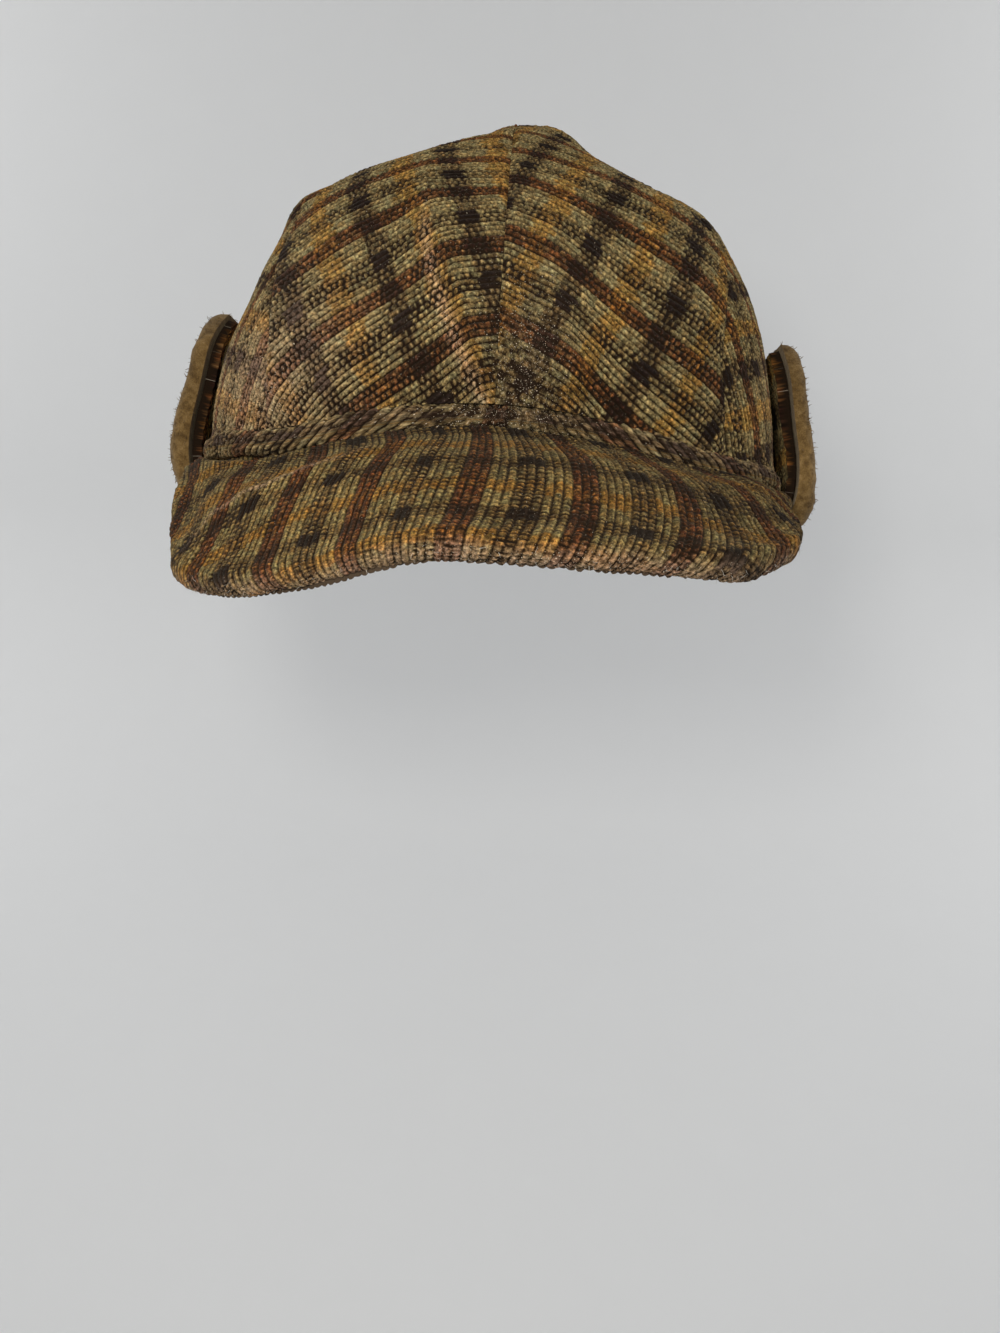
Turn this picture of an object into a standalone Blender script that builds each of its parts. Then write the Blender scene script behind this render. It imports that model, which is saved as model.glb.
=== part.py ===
"""Corduroy earflap cap with its fleece-lined flaps turned up.

Standalone Blender 4.5 script.  Units are metres, +Z up.  The peak points to -Y and the
wearer's left ear is on +X.  The origin is the middle of the head opening, level with the
rim at the two ears.
"""

import math
from collections import namedtuple

import bpy
from mathutils import Vector

# Driving dimensions
PIECE_GAP = 0.0003
LAYER_GAP = 0.0006
CLOTH_WALL = 0.0024
CROWN_STEPS_AROUND = 8
CROWN_STEPS_UP = 16
CROWN_TIP_CUT = 0.996
RIM_LIFT_TOP = 0.4
NORMAL_BLEND_START = 0.85
NORMAL_BLEND_END = 0.97
SHARP_EDGE = 50.0

ROLL_HEIGHT = 0.0054
ROLL_DEPTH = 0.0062
ROLL_PROUD = 0.0026
ROLL_STEPS = 84
ROLL_SIDES = 8
ROLL_FULLNESS = 0.8

PEAK_THICKNESS = 0.0066
PEAK_CROWNING = 0.0035
PEAK_CROWN_REACH = 0.040
PEAK_TUCK = 0.0012
PEAK_STEPS_ACROSS = 30
PEAK_STEPS_OUT = 7
PEAK_NOSE_STEPS = 5

FLAP_CLOTH = 0.0028
FLAP_FLEECE = 0.0052
FLAP_STEPS_AROUND = 12
FLAP_STEPS_UP = 12
FLAP_LEAN_START = 0.35
FLAP_CORNER_START = 0.8

# One row for each level section of the crown, from the rim to the top.  Reaches are
# measured from the vertical axis, heights from the origin.  A section is a
# superellipse: 2 is an ellipse, more is squarer.  The side seams are the angles, from
# the front, at which the front gores end.
Section = namedtuple(
    "Section",
    "front_y front_z left_x right_x side_z back_y back_z squareness seam_left seam_right",
)
CROWN_SECTIONS = (
    Section(-0.1030, 0.0305, -0.0870, 0.0905, -0.0010, 0.1010, -0.0235, 2.45, -38.0, 39.7),
    Section(-0.1015, 0.0420, -0.0860, 0.0895, 0.0130, 0.1040, -0.0050, 2.35, -39.4, 40.7),
    Section(-0.0965, 0.0535, -0.0832, 0.0872, 0.0290, 0.1040, 0.0170, 2.25, -42.8, 41.9),
    Section(-0.0885, 0.0645, -0.0778, 0.0838, 0.0450, 0.0990, 0.0400, 2.20, -48.6, 45.9),
    Section(-0.0745, 0.0755, -0.0715, 0.0775, 0.0615, 0.0890, 0.0620, 2.20, -56.0, 53.2),
    Section(-0.0575, 0.0850, -0.0610, 0.0665, 0.0772, 0.0730, 0.0790, 2.20, -60.6, 59.7),
    Section(-0.0385, 0.0935, -0.0455, 0.0480, 0.0880, 0.0530, 0.0920, 2.10, -64.2, 64.2),
    Section(-0.0180, 0.1012, -0.0200, 0.0270, 0.0975, 0.0330, 0.1015, 2.00, -66.0, 66.0),
    Section(0.0120, 0.1070, 0.0030, 0.0030, 0.1070, 0.0120, 0.1070, 2.00, -66.0, 66.0),
)
BACK_SEAM = 120.0

# Where the crown's rim rides higher (plus) or lower (minus) than its smooth run: the
# angle from the front and how far the change reaches.  It fades out above the rim.
Lift = namedtuple("Lift", "angle angle_reach height")
RIM_LIFTS = (
    Lift(0.0, 26.0, 0.0045),
    Lift(-33.5, 14.0, -0.0022),
    Lift(36.0, 16.0, -0.0020),
)

# Dents and swellings of the crown: the angle from the front and the share of the way
# up, how far each reaches, and how far the cloth moves out (plus) or in (minus).
Dent = namedtuple("Dent", "angle rise angle_reach rise_reach depth")
CROWN_DENTS = (
    Dent(-76.0, 0.62, 18.0, 0.06, 0.0024),
    Dent(-60.0, 0.90, 40.0, 0.05, -0.0022),
    Dent(76.0, 0.93, 34.0, 0.05, 0.0034),
    Dent(74.0, 0.66, 18.0, 0.07, 0.0008),
    Dent(-20.0, 0.45, 8.0, 0.22, -0.0014),
    Dent(22.0, 0.40, 9.0, 0.20, -0.0008),
    Dent(150.0, 0.45, 22.0, 0.16, -0.0016),
    Dent(-140.0, 0.55, 20.0, 0.14, -0.0012),
)

# One row for each station of the peak's outer edge, from the wearer's right round to
# the wearer's left: the middle of the rounded edge.
Edge = namedtuple("Edge", "x y z")
PEAK_EDGE = (
    Edge(-0.0880, -0.0470, 0.0025),
    Edge(-0.0832, -0.0720, 0.0000),
    Edge(-0.0770, -0.0980, -0.0055),
    Edge(-0.0678, -0.1240, -0.0060),
    Edge(-0.0520, -0.1450, -0.0012),
    Edge(-0.0327, -0.1575, 0.0062),
    Edge(-0.0123, -0.1640, 0.0145),
    Edge(0.0065, -0.1665, 0.0162),
    Edge(0.0251, -0.1660, 0.0158),
    Edge(0.0447, -0.1605, 0.0137),
    Edge(0.0575, -0.1515, 0.0112),
    Edge(0.0697, -0.1340, 0.0100),
    Edge(0.0765, -0.1120, 0.0085),
    Edge(0.0815, -0.0800, 0.0045),
    Edge(0.0900, -0.0470, 0.0020),
)
PEAK_LEFT_END = -59.5
PEAK_RIGHT_END = 59.5

# The turned-up flap in section, from its fold under the rim to its free edge: how far
# it stands out from the crown's rim, and its height above the rim.
Fold = namedtuple("Fold", "out up")
FLAP_SECTION = (
    Fold(-0.0020, -0.0092),
    Fold(0.0022, -0.0115),
    Fold(0.0060, -0.0110),
    Fold(0.0075, -0.0065),
    Fold(0.0076, 0.0000),
    Fold(0.0065, 0.0075),
    Fold(0.0045, 0.0155),
    Fold(0.0024, 0.0245),
    Fold(0.0004, 0.0330),
    Fold(-0.0020, 0.0420),
)

# One row for each flap: the angles, from the front, of its two ends at the fold, how
# much nearer its middle each end stands at the free edge, how far the corners are
# rounded off, how much taller and further out than the section it is, and how much
# further out its back end leans.
Flap = namedtuple("Flap", "name side front back front_slant back_slant corner stretch shift back_ease")
FLAPS = (
    Flap("ear_flap_right", -1.0, 68.0, 129.0, 7.0, 7.0, 9.0, 1.06, -0.0010, 0.0045),
    Flap("ear_flap_left", 1.0, 68.0, 129.0, 4.0, 7.0, 6.0, 1.00, 0.0, 0.0045),
)


def clear_scene():
    """Remove every object, so that the script can be run again."""
    for item in list(bpy.data.objects):
        bpy.data.objects.remove(item, do_unlink=True)


def make_material(name, color, roughness, sheen=0.0):
    """Return a plain cloth material."""
    material = bpy.data.materials.new(name)
    material.use_nodes = True
    shader = material.node_tree.nodes["Principled BSDF"]
    shader.inputs["Base Color"].default_value = (*color, 1.0)
    shader.inputs["Roughness"].default_value = roughness
    shader.inputs["Metallic"].default_value = 0.0
    shader.inputs["Sheen Weight"].default_value = sheen
    return material


def smooth_read(values, place):
    """Read a list of numbers at a place from 0 to 1, along a smooth curve through them."""
    last = len(values) - 1
    position = min(max(place, 0.0), 1.0) * last
    index = min(int(position), last - 1)
    share = position - index
    before = values[index - 1] if index > 0 else 2.0 * values[0] - values[1]
    start = values[index]
    end = values[index + 1]
    after = values[index + 2] if index + 2 <= last else 2.0 * values[last] - values[last - 1]
    return 0.5 * (
        2.0 * start
        + (end - before) * share
        + (2.0 * before - 5.0 * start + 4.0 * end - after) * share**2
        + (3.0 * start - before - 3.0 * end + after) * share**3
    )


def read_row(table, place):
    """Return a table's row at a place from 0 to 1, every column read smoothly."""
    columns = zip(*table)
    return type(table[0])(*(smooth_read(column, place) for column in columns))


def signed_power(value, power):
    """Raise the size of a number to a power and keep its sign."""
    return math.copysign(abs(value) ** power, value)


def bell(distance, reach):
    """Return a smooth bump that is 1 at no distance and fades out past its reach."""
    return math.exp(-((distance / reach) ** 2))


def smoothstep(share):
    """Ease from 0 to 1."""
    share = min(max(share, 0.0), 1.0)
    return share * share * (3.0 - 2.0 * share)


def wrap_angle(angle):
    """Bring an angle in degrees between -180 and 180."""
    return (angle + 180.0) % 360.0 - 180.0


def crown_base(angle, rise):
    """Return the crown's undented outside at an angle from the front and a rise."""
    row = read_row(CROWN_SECTIONS, rise)
    across = math.sin(math.radians(angle))
    along = -math.cos(math.radians(angle))
    size = (abs(across) ** row.squareness + abs(along) ** row.squareness) ** (1.0 / row.squareness)
    across /= size
    along /= size
    middle_y = 0.5 * (row.front_y + row.back_y)
    half_x = row.right_x if across > 0.0 else -row.left_x
    half_y = 0.5 * (row.back_y - row.front_y)
    middle_x = CROWN_SECTIONS[-1].left_x
    reach_x = half_x - math.copysign(middle_x, across)
    lift = sum(
        change.height * bell(wrap_angle(angle - change.angle), change.angle_reach)
        for change in RIM_LIFTS
    )
    height = (
        row.side_z
        + 0.5 * (row.back_z - row.front_z) * along
        + (0.5 * (row.front_z + row.back_z) - row.side_z) * along**2
        + lift * (1.0 - smoothstep(rise / RIM_LIFT_TOP))
    )
    return Vector((middle_x + across * reach_x, middle_y + along * half_y, height))


def crown_normal(angle, rise):
    """Return the direction out of the undented crown, turning to straight up at its top."""
    step_angle = 0.5
    step_rise = 0.004
    blend = smoothstep((rise - NORMAL_BLEND_START) / (NORMAL_BLEND_END - NORMAL_BLEND_START))
    low = min(max(rise - step_rise, 0.0), 1.0 - 4.0 * step_rise)
    high = low + 2.0 * step_rise
    around = crown_base(angle + step_angle, rise) - crown_base(angle - step_angle, rise)
    upward = crown_base(angle, high) - crown_base(angle, low)
    outward = around.cross(upward).normalized()
    return outward.lerp(Vector((0.0, 0.0, 1.0)), blend).normalized()


def crown_point(angle, rise, depth=0.0):
    """Return a point of the crown, a depth below its dented outside."""
    push = sum(
        dent.depth
        * bell(wrap_angle(angle - dent.angle), dent.angle_reach)
        * bell(rise - dent.rise, dent.rise_reach)
        for dent in CROWN_DENTS
    )
    return crown_base(angle, rise) + crown_normal(angle, rise) * (push - depth)


def rim_point(angle):
    """Return the crown's lower outside edge at an angle from the front."""
    return crown_base(angle, 0.0)


def rim_outward(angle):
    """Return the level direction away from the head at an angle of the rim."""
    along = rim_point(angle + 1.0) - rim_point(angle - 1.0)
    return Vector((along.y, -along.x, 0.0)).normalized()


def mesh_object(name, points, faces, material):
    """Make an object from points and faces, with its outside turned outwards."""
    mesh = bpy.data.meshes.new(name)
    mesh.from_pydata([tuple(point) for point in points], [], faces)
    mesh.validate()
    volume = 0.0
    mesh.calc_loop_triangles()
    for triangle in mesh.loop_triangles:
        first, second, third = (mesh.vertices[index].co for index in triangle.vertices)
        volume += first.dot(second.cross(third))
    if volume < 0.0:
        mesh.flip_normals()
    mesh.shade_smooth()
    mesh.set_sharp_from_angle(angle=math.radians(SHARP_EDGE))
    mesh.materials.append(material)
    item = bpy.data.objects.new(name, mesh)
    bpy.context.scene.collection.objects.link(item)
    return item


def sheet_solid(name, outside, inside, material):
    """Close two grids of points, an outside and an inside, into one thin solid."""
    rows = len(outside)
    columns = len(outside[0])
    points = [point for row in outside for point in row] + [point for row in inside for point in row]
    shift = rows * columns
    faces = []
    for row in range(rows - 1):
        for column in range(columns - 1):
            corner = row * columns + column
            quad = (corner, corner + 1, corner + columns + 1, corner + columns)
            faces.append(quad)
            faces.append(tuple(index + shift for index in reversed(quad)))
    border = list(range(columns))
    border += [row * columns + columns - 1 for row in range(1, rows)]
    border += [(rows - 1) * columns + column for column in range(columns - 2, -1, -1)]
    border += [row * columns for row in range(rows - 2, 0, -1)]
    for place, start in enumerate(border):
        end = border[(place + 1) % len(border)]
        faces.append((end, start, start + shift, end + shift))
    return mesh_object(name, points, faces, material)


def loop_solid(name, loops, material, closed):
    """Join a row of equal loops into a solid, as a ring or with an end cap on each end."""
    count = len(loops)
    size = len(loops[0])
    points = [point for loop in loops for point in loop]
    faces = []
    for place in range(count if closed else count - 1):
        start = place * size
        end = ((place + 1) % count) * size
        for side in range(size):
            after = (side + 1) % size
            faces.append((start + side, start + after, end + after, end + side))
    if not closed:
        for place, step in ((0, -1), (count - 1, 1)):
            middle = sum((Vector(point) for point in loops[place]), Vector()) / size
            points.append(middle)
            for side in range(size):
                after = (side + 1) % size
                edge = (place * size + side, place * size + after)
                edge = edge if step > 0 else edge[::-1]
                faces.append((*edge, len(points) - 1))
    return mesh_object(name, points, faces, material)


def seam_angle(seam, rise):
    """Return the angle of one of the six crown seams at a rise, counted round from the front."""
    row = read_row(CROWN_SECTIONS, rise)
    front_left, front_right = row.seam_right, 360.0 + row.seam_left
    return (0.0, front_left, BACK_SEAM, 180.0, 360.0 - BACK_SEAM, front_right, 360.0)[seam]


def trim_row(row):
    """Move a row's two end points inwards by half the gap between two pieces."""
    first = row[0] + (row[1] - row[0]).normalized() * 0.5 * PIECE_GAP
    last = row[-1] + (row[-2] - row[-1]).normalized() * 0.5 * PIECE_GAP
    return [first, *row[1:-1], last]


def build_crown(material):
    """Make the six gores of the crown, each a curved cloth wall."""
    names = (
        "crown_front_left",
        "crown_side_left",
        "crown_back_left",
        "crown_back_right",
        "crown_side_right",
        "crown_front_right",
    )
    for gore, name in enumerate(names):
        outside = []
        inside = []
        for step in range(CROWN_STEPS_UP + 1):
            rise = CROWN_TIP_CUT * step / CROWN_STEPS_UP
            start = seam_angle(gore, rise)
            end = seam_angle(gore + 1, rise)
            angles = [
                start + (end - start) * place / CROWN_STEPS_AROUND
                for place in range(CROWN_STEPS_AROUND + 1)
            ]
            outside.append(trim_row([crown_point(angle, rise) for angle in angles]))
            inside.append(trim_row([crown_point(angle, rise, CLOTH_WALL) for angle in angles]))
        sheet_solid(name, outside, inside, material)


def build_rim_roll(material):
    """Make the rolled hem that runs right round below the crown."""
    loops = []
    for step in range(ROLL_STEPS):
        angle = 360.0 * step / ROLL_STEPS
        outward = rim_outward(angle)
        middle = rim_point(angle) + outward * (ROLL_PROUD - 0.5 * ROLL_DEPTH)
        middle.z -= LAYER_GAP + 0.5 * ROLL_HEIGHT
        loop = []
        for side in range(ROLL_SIDES):
            turn = 2.0 * math.pi * (side + 0.5) / ROLL_SIDES
            out = signed_power(math.cos(turn), ROLL_FULLNESS) * 0.5 * ROLL_DEPTH
            up = signed_power(math.sin(turn), ROLL_FULLNESS) * 0.5 * ROLL_HEIGHT
            loop.append(middle + outward * out + Vector((0.0, 0.0, up)))
        loops.append(loop)
    loop_solid("rim_roll", loops, material, closed=True)


def peak_inner(share):
    """Return the top of the peak's inner edge, right under the rolled hem."""
    angle = PEAK_LEFT_END + (PEAK_RIGHT_END - PEAK_LEFT_END) * share
    point = rim_point(angle) - rim_outward(angle) * PEAK_TUCK
    point.z -= 2.0 * LAYER_GAP + ROLL_HEIGHT
    return point


def build_peak(material):
    """Make the padded peak: a crescent with a round front edge."""
    half = 0.5 * PEAK_THICKNESS
    loops = []
    for step in range(PEAK_STEPS_ACROSS + 1):
        share = step / PEAK_STEPS_ACROSS
        start = peak_inner(share)
        edge = read_row(PEAK_EDGE, share)
        end = Vector(edge)
        outward = (end - start).normalized()
        across = (peak_inner(min(share + 0.02, 1.0)) - peak_inner(max(share - 0.02, 0.0))).normalized()
        upward = across.cross(outward)
        if upward.z < 0.0:
            upward = -upward
        upward.normalize()
        start = start - upward * half
        outward = (end - start).normalized()
        reach = (end - start).length - half
        crowning = PEAK_CROWNING * min(reach / PEAK_CROWN_REACH, 1.0) ** 2
        top = []
        bottom = []
        for place in range(PEAK_STEPS_OUT + 1):
            out = place / PEAK_STEPS_OUT
            arch = crowning * math.sin(math.pi * out) ** 2
            spine = start + outward * (reach * out) + upward * arch
            top.append(spine + upward * half)
            bottom.append(spine - upward * half)
        nose = []
        for place in range(1, PEAK_NOSE_STEPS):
            turn = math.pi * (0.5 - place / PEAK_NOSE_STEPS)
            nose.append(
                start + outward * (reach + half * math.cos(turn)) + upward * (half * math.sin(turn))
            )
        loops.append(top + nose + bottom[::-1])
    loop_solid("peak", loops, material, closed=False)


def flap_fold(share, stretch):
    """Return the flap's section at a share of its way from the fold to the free edge."""
    row = read_row(FLAP_SECTION, share)
    return row.out, row.up * (stretch if row.up > 0.0 else 1.0)


def flap_point(flap, around, share, depth):
    """Return a point of a flap, a depth outside the line where cloth meets fleece."""
    lean = smoothstep((share - FLAP_LEAN_START) / (1.0 - FLAP_LEAN_START))
    corner = flap.corner * (max(share - FLAP_CORNER_START, 0.0) / (1.0 - FLAP_CORNER_START)) ** 2
    front = flap.front + flap.front_slant * lean + corner
    back = flap.back - flap.back_slant * lean - corner
    turn = flap.side * (front + (back - front) * around)
    out, up = flap_fold(share, flap.stretch)
    out += flap.shift + flap.back_ease * around**2 * lean
    step = 0.01
    low = flap_fold(max(share - step, 0.0), flap.stretch)
    high = flap_fold(min(share + step, 1.0), flap.stretch)
    run = Vector((high[0] - low[0], high[1] - low[1])).normalized()
    out += run.y * depth
    up -= run.x * depth
    point = rim_point(turn) + rim_outward(turn) * out
    point.z += up
    return point


def flap_sheet(flap, name, near, far, material):
    """Make one layer of a flap, between two depths from the line where the layers meet."""
    sheets = []
    for depth in (far, near):
        sheets.append(
            [
                [
                    flap_point(flap, place / FLAP_STEPS_AROUND, step / FLAP_STEPS_UP, depth)
                    for place in range(FLAP_STEPS_AROUND + 1)
                ]
                for step in range(FLAP_STEPS_UP + 1)
            ]
        )
    sheet_solid(name, sheets[0], sheets[1], material)


def build_flaps(cloth, fleece):
    """Make both ear flaps: cloth towards the crown and fleece on the outside."""
    for flap in FLAPS:
        flap_sheet(flap, flap.name + "_cloth", -FLAP_CLOTH, -0.5 * LAYER_GAP, cloth)
        flap_sheet(flap, flap.name + "_fleece", 0.5 * LAYER_GAP, FLAP_FLEECE, fleece)


def main():
    """Build the whole cap."""
    clear_scene()
    corduroy = make_material("corduroy", (0.10, 0.065, 0.03), 0.9, 0.3)
    fleece = make_material("fleece", (0.30, 0.19, 0.09), 0.95, 0.4)
    build_crown(corduroy)
    build_rim_roll(corduroy)
    build_peak(corduroy)
    build_flaps(corduroy, fleece)


main()
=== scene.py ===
"""The looks of a corduroy earflap cap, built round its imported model.

Units are metres, +Z up.  The peak points to -Y and the wearer's left ear is on +X.  A
bearing is the angle in degrees from the front, growing towards the wearer's left, and a
rise is the share of the way from the crown's rim to its top.  Cloth coordinates run
along the wales (u) and across them (v), in metres of flat cloth.
"""

import logging
import math
from collections.abc import Callable, Sequence
from dataclasses import dataclass
from enum import Enum
from typing import NamedTuple

import bpy
import numpy as np
from mathutils import Matrix, Vector
from mathutils.geometry import delaunay_2d_cdt
from mathutils.kdtree import KDTree


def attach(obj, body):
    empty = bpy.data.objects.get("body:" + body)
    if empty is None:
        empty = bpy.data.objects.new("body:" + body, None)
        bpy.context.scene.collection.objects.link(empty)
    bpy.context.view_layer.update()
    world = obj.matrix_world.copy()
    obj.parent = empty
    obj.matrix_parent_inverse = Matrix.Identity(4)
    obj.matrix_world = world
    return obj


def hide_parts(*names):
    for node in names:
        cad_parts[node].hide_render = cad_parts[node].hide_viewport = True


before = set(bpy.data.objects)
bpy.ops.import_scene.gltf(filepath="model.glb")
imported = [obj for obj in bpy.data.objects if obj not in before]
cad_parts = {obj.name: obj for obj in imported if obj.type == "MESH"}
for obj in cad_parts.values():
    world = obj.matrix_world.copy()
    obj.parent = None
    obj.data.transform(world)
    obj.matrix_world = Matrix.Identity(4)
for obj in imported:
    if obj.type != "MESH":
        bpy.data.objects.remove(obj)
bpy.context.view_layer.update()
LOG = logging.getLogger("cap")

# The cloth: the plaid's repeat, the distance between two wales and the wall's thickness
REPEAT = 0.0227
PITCH = 0.0018
CLOTH_WALL = 0.0024
# Half of the dark stripe and where the rust one starts, in repeats from the dark stripe's middle
DARK_HALF = 0.112
RUST_EDGE = 0.385
# The same along the wales, for the dark and the gold stripe
CROSS_DARK_HALF = 0.115
GOLD_EDGE = 0.385
# How much cloth there is up the crown, for each unit of a rise
RISE_LENGTH = 0.14
# How far inside a cloth's edge its back's loose points start, and how far apart they lie
BACK_INSET = 0.002
BACK_STEP = 0.004

Array = np.ndarray
Numbers = Array | float
Face = tuple[int, ...]
Color = tuple[float, float, float]
Spot = tuple[float, float, float]
Socket = bpy.types.NodeSocket
Materials = Sequence[bpy.types.Material]
Reader = Callable[[Array], Array]


class Section(NamedTuple):
    """A level section of the crown, as the CAD model has it."""

    front_y: float
    front_z: float
    left_x: float
    right_x: float
    side_z: float
    back_y: float
    back_z: float
    squareness: float
    seam_left: float
    seam_right: float


class Lift(NamedTuple):
    """A stretch of the crown's rim that rides higher or lower than its smooth run."""

    bearing: float
    reach: float
    height: float


class Dent(NamedTuple):
    """A dent or swelling of the crown."""

    bearing: float
    rise: float
    reach: float
    rise_reach: float
    depth: float


CROWN_SECTIONS = (
    Section(-0.1030, 0.0305, -0.0870, 0.0905, -0.0010, 0.1010, -0.0235, 2.45, -38.0, 39.7),
    Section(-0.1015, 0.0420, -0.0860, 0.0895, 0.0130, 0.1040, -0.0050, 2.35, -39.4, 40.7),
    Section(-0.0965, 0.0535, -0.0832, 0.0872, 0.0290, 0.1040, 0.0170, 2.25, -42.8, 41.9),
    Section(-0.0885, 0.0645, -0.0778, 0.0838, 0.0450, 0.0990, 0.0400, 2.20, -48.6, 45.9),
    Section(-0.0745, 0.0755, -0.0715, 0.0775, 0.0615, 0.0890, 0.0620, 2.20, -56.0, 53.2),
    Section(-0.0575, 0.0850, -0.0610, 0.0665, 0.0772, 0.0730, 0.0790, 2.20, -60.6, 59.7),
    Section(-0.0385, 0.0935, -0.0455, 0.0480, 0.0880, 0.0530, 0.0920, 2.10, -64.2, 64.2),
    Section(-0.0180, 0.1012, -0.0200, 0.0270, 0.0975, 0.0330, 0.1015, 2.00, -66.0, 66.0),
    Section(0.0120, 0.1070, 0.0030, 0.0030, 0.1070, 0.0120, 0.1070, 2.00, -66.0, 66.0),
)
BACK_SEAM = 120.0
RIM_LIFT_TOP = 0.4
RIM_LIFTS = (
    Lift(0.0, 26.0, 0.0045),
    Lift(-33.5, 14.0, -0.0022),
    Lift(36.0, 16.0, -0.0020),
)
CROWN_DENTS = (
    Dent(-76.0, 0.62, 18.0, 0.06, 0.0024),
    Dent(-60.0, 0.90, 40.0, 0.05, -0.0022),
    Dent(76.0, 0.93, 34.0, 0.05, 0.0034),
    Dent(74.0, 0.66, 18.0, 0.07, 0.0008),
    Dent(-20.0, 0.45, 8.0, 0.22, -0.0014),
    Dent(22.0, 0.40, 9.0, 0.20, -0.0008),
    Dent(150.0, 0.45, 22.0, 0.16, -0.0016),
    Dent(-140.0, 0.55, 20.0, 0.14, -0.0012),
)
# x, y and z along the peak's outer edge, from the wearer's right to the left
PEAK_EDGE = (
    (-0.0880, -0.0470, 0.0025), (-0.0832, -0.0720, 0.0000), (-0.0770, -0.0980, -0.0055),
    (-0.0678, -0.1240, -0.0060), (-0.0520, -0.1450, -0.0012), (-0.0327, -0.1575, 0.0062),
    (-0.0123, -0.1640, 0.0145), (0.0065, -0.1665, 0.0162), (0.0251, -0.1660, 0.0158),
    (0.0447, -0.1605, 0.0137), (0.0575, -0.1515, 0.0112), (0.0697, -0.1340, 0.0100),
    (0.0765, -0.1120, 0.0085), (0.0815, -0.0800, 0.0045), (0.0900, -0.0470, 0.0020),
)
# How far out and how high a turned-up flap runs in section, from the hidden end to the free edge
FLAP_SECTION = (
    (-0.0020, -0.0092), (0.0022, -0.0115), (0.0060, -0.0110), (0.0075, -0.0065), (0.0076, 0.0000),
    (0.0065, 0.0075), (0.0045, 0.0155), (0.0024, 0.0245), (0.0004, 0.0330), (-0.0020, 0.0420),
)


def smooth_read(table: Sequence, place: Array) -> Array:
    """Read a table's rows at places from 0 to 1, along a smooth curve through them.

    Args:
        table: the rows of numbers.
        place: where to read, straight on past either end.

    Returns:
        An array with one row of values for each place.
    """
    rows = np.asarray(table, float)
    last = len(rows) - 1
    position = np.asarray(place, float) * last
    index = np.clip(np.floor(position).astype(int), 0, last - 1)
    share = (position - index)[..., None]
    padded = np.vstack([2.0 * rows[0] - rows[1], rows, 2.0 * rows[-1] - rows[-2]])
    before, start, end, after = (padded[index + step] for step in range(4))
    inner = np.clip(share, 0.0, 1.0)
    linear = end - before
    square = 2.0 * before - 5.0 * start + 4.0 * end - after
    cube = 3.0 * start - before - 3.0 * end + after
    value = 0.5 * (2.0 * start + linear * inner + square * inner**2 + cube * inner**3)
    outside = share - inner
    slope = np.where(outside < 0.0, 0.5 * linear, 0.5 * (linear + 2.0 * square + 3.0 * cube))
    return value + slope * outside


def smoothstep(share: Array) -> Array:
    """Ease from 0 to 1."""
    share = np.clip(share, 0.0, 1.0)
    return share * share * (3.0 - 2.0 * share)


def bell(distance: Array, reach: float) -> Array:
    """Return a smooth bump that is 1 at no distance and fades out past its reach."""
    return np.exp(-((distance / reach) ** 2))


def wrap_angle(angle: Array) -> Array:
    """Bring angles in degrees between -180 and 180."""
    return (angle + 180.0) % 360.0 - 180.0


def unit(vectors: Array) -> Array:
    """Return vectors at length 1."""
    return vectors / np.maximum(np.linalg.norm(vectors, axis=-1, keepdims=True), 1e-12)


def cross(first: Array, second: Array) -> Array:
    """Return the cross product of vectors in a plane."""
    return first[..., 0] * second[..., 1] - second[..., 0] * first[..., 1]


def value_noise(x: Array, y: Array, seed: int) -> Array:
    """Return smooth noise from -1 to 1 on a plane, one cell for each unit.

    Args:
        x: first coordinate.
        y: second coordinate.
        seed: picks the pattern.

    Returns:
        The noise at each place.
    """
    size = 64
    cells = np.random.default_rng(seed).uniform(-1.0, 1.0, (size, size))
    column = np.floor(x).astype(int)
    row = np.floor(y).astype(int)
    across = smoothstep(x - column)
    along = smoothstep(y - row)
    left, right = column % size, (column + 1) % size
    low, high = (
        cells[(row + step) % size, left] * (1.0 - across) + cells[(row + step) % size, right] * across
        for step in (0, 1)
    )
    return low * (1.0 - along) + high * along


class Ripple(NamedTuple):
    """Smooth unevenness: its height, the lengths of its waves in two directions and a seed."""

    height: float
    length: float
    breadth: float
    seed: int

    def at(self, x: Array, y: Array) -> Array:
        """Return the height at places."""
        return self.height * value_noise(x / self.length, y / self.breadth, self.seed)


class Wander(NamedTuple):
    """Smooth change along the wales and from one to the next, from one seed."""

    amount: float
    length: float
    per_wale: float
    seed: int

    def at(self, u: Array, wale: Array) -> Array:
        """Return the change at places along wales."""
        return self.amount * value_noise(u / self.length, wale * self.per_wale, self.seed)


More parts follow.
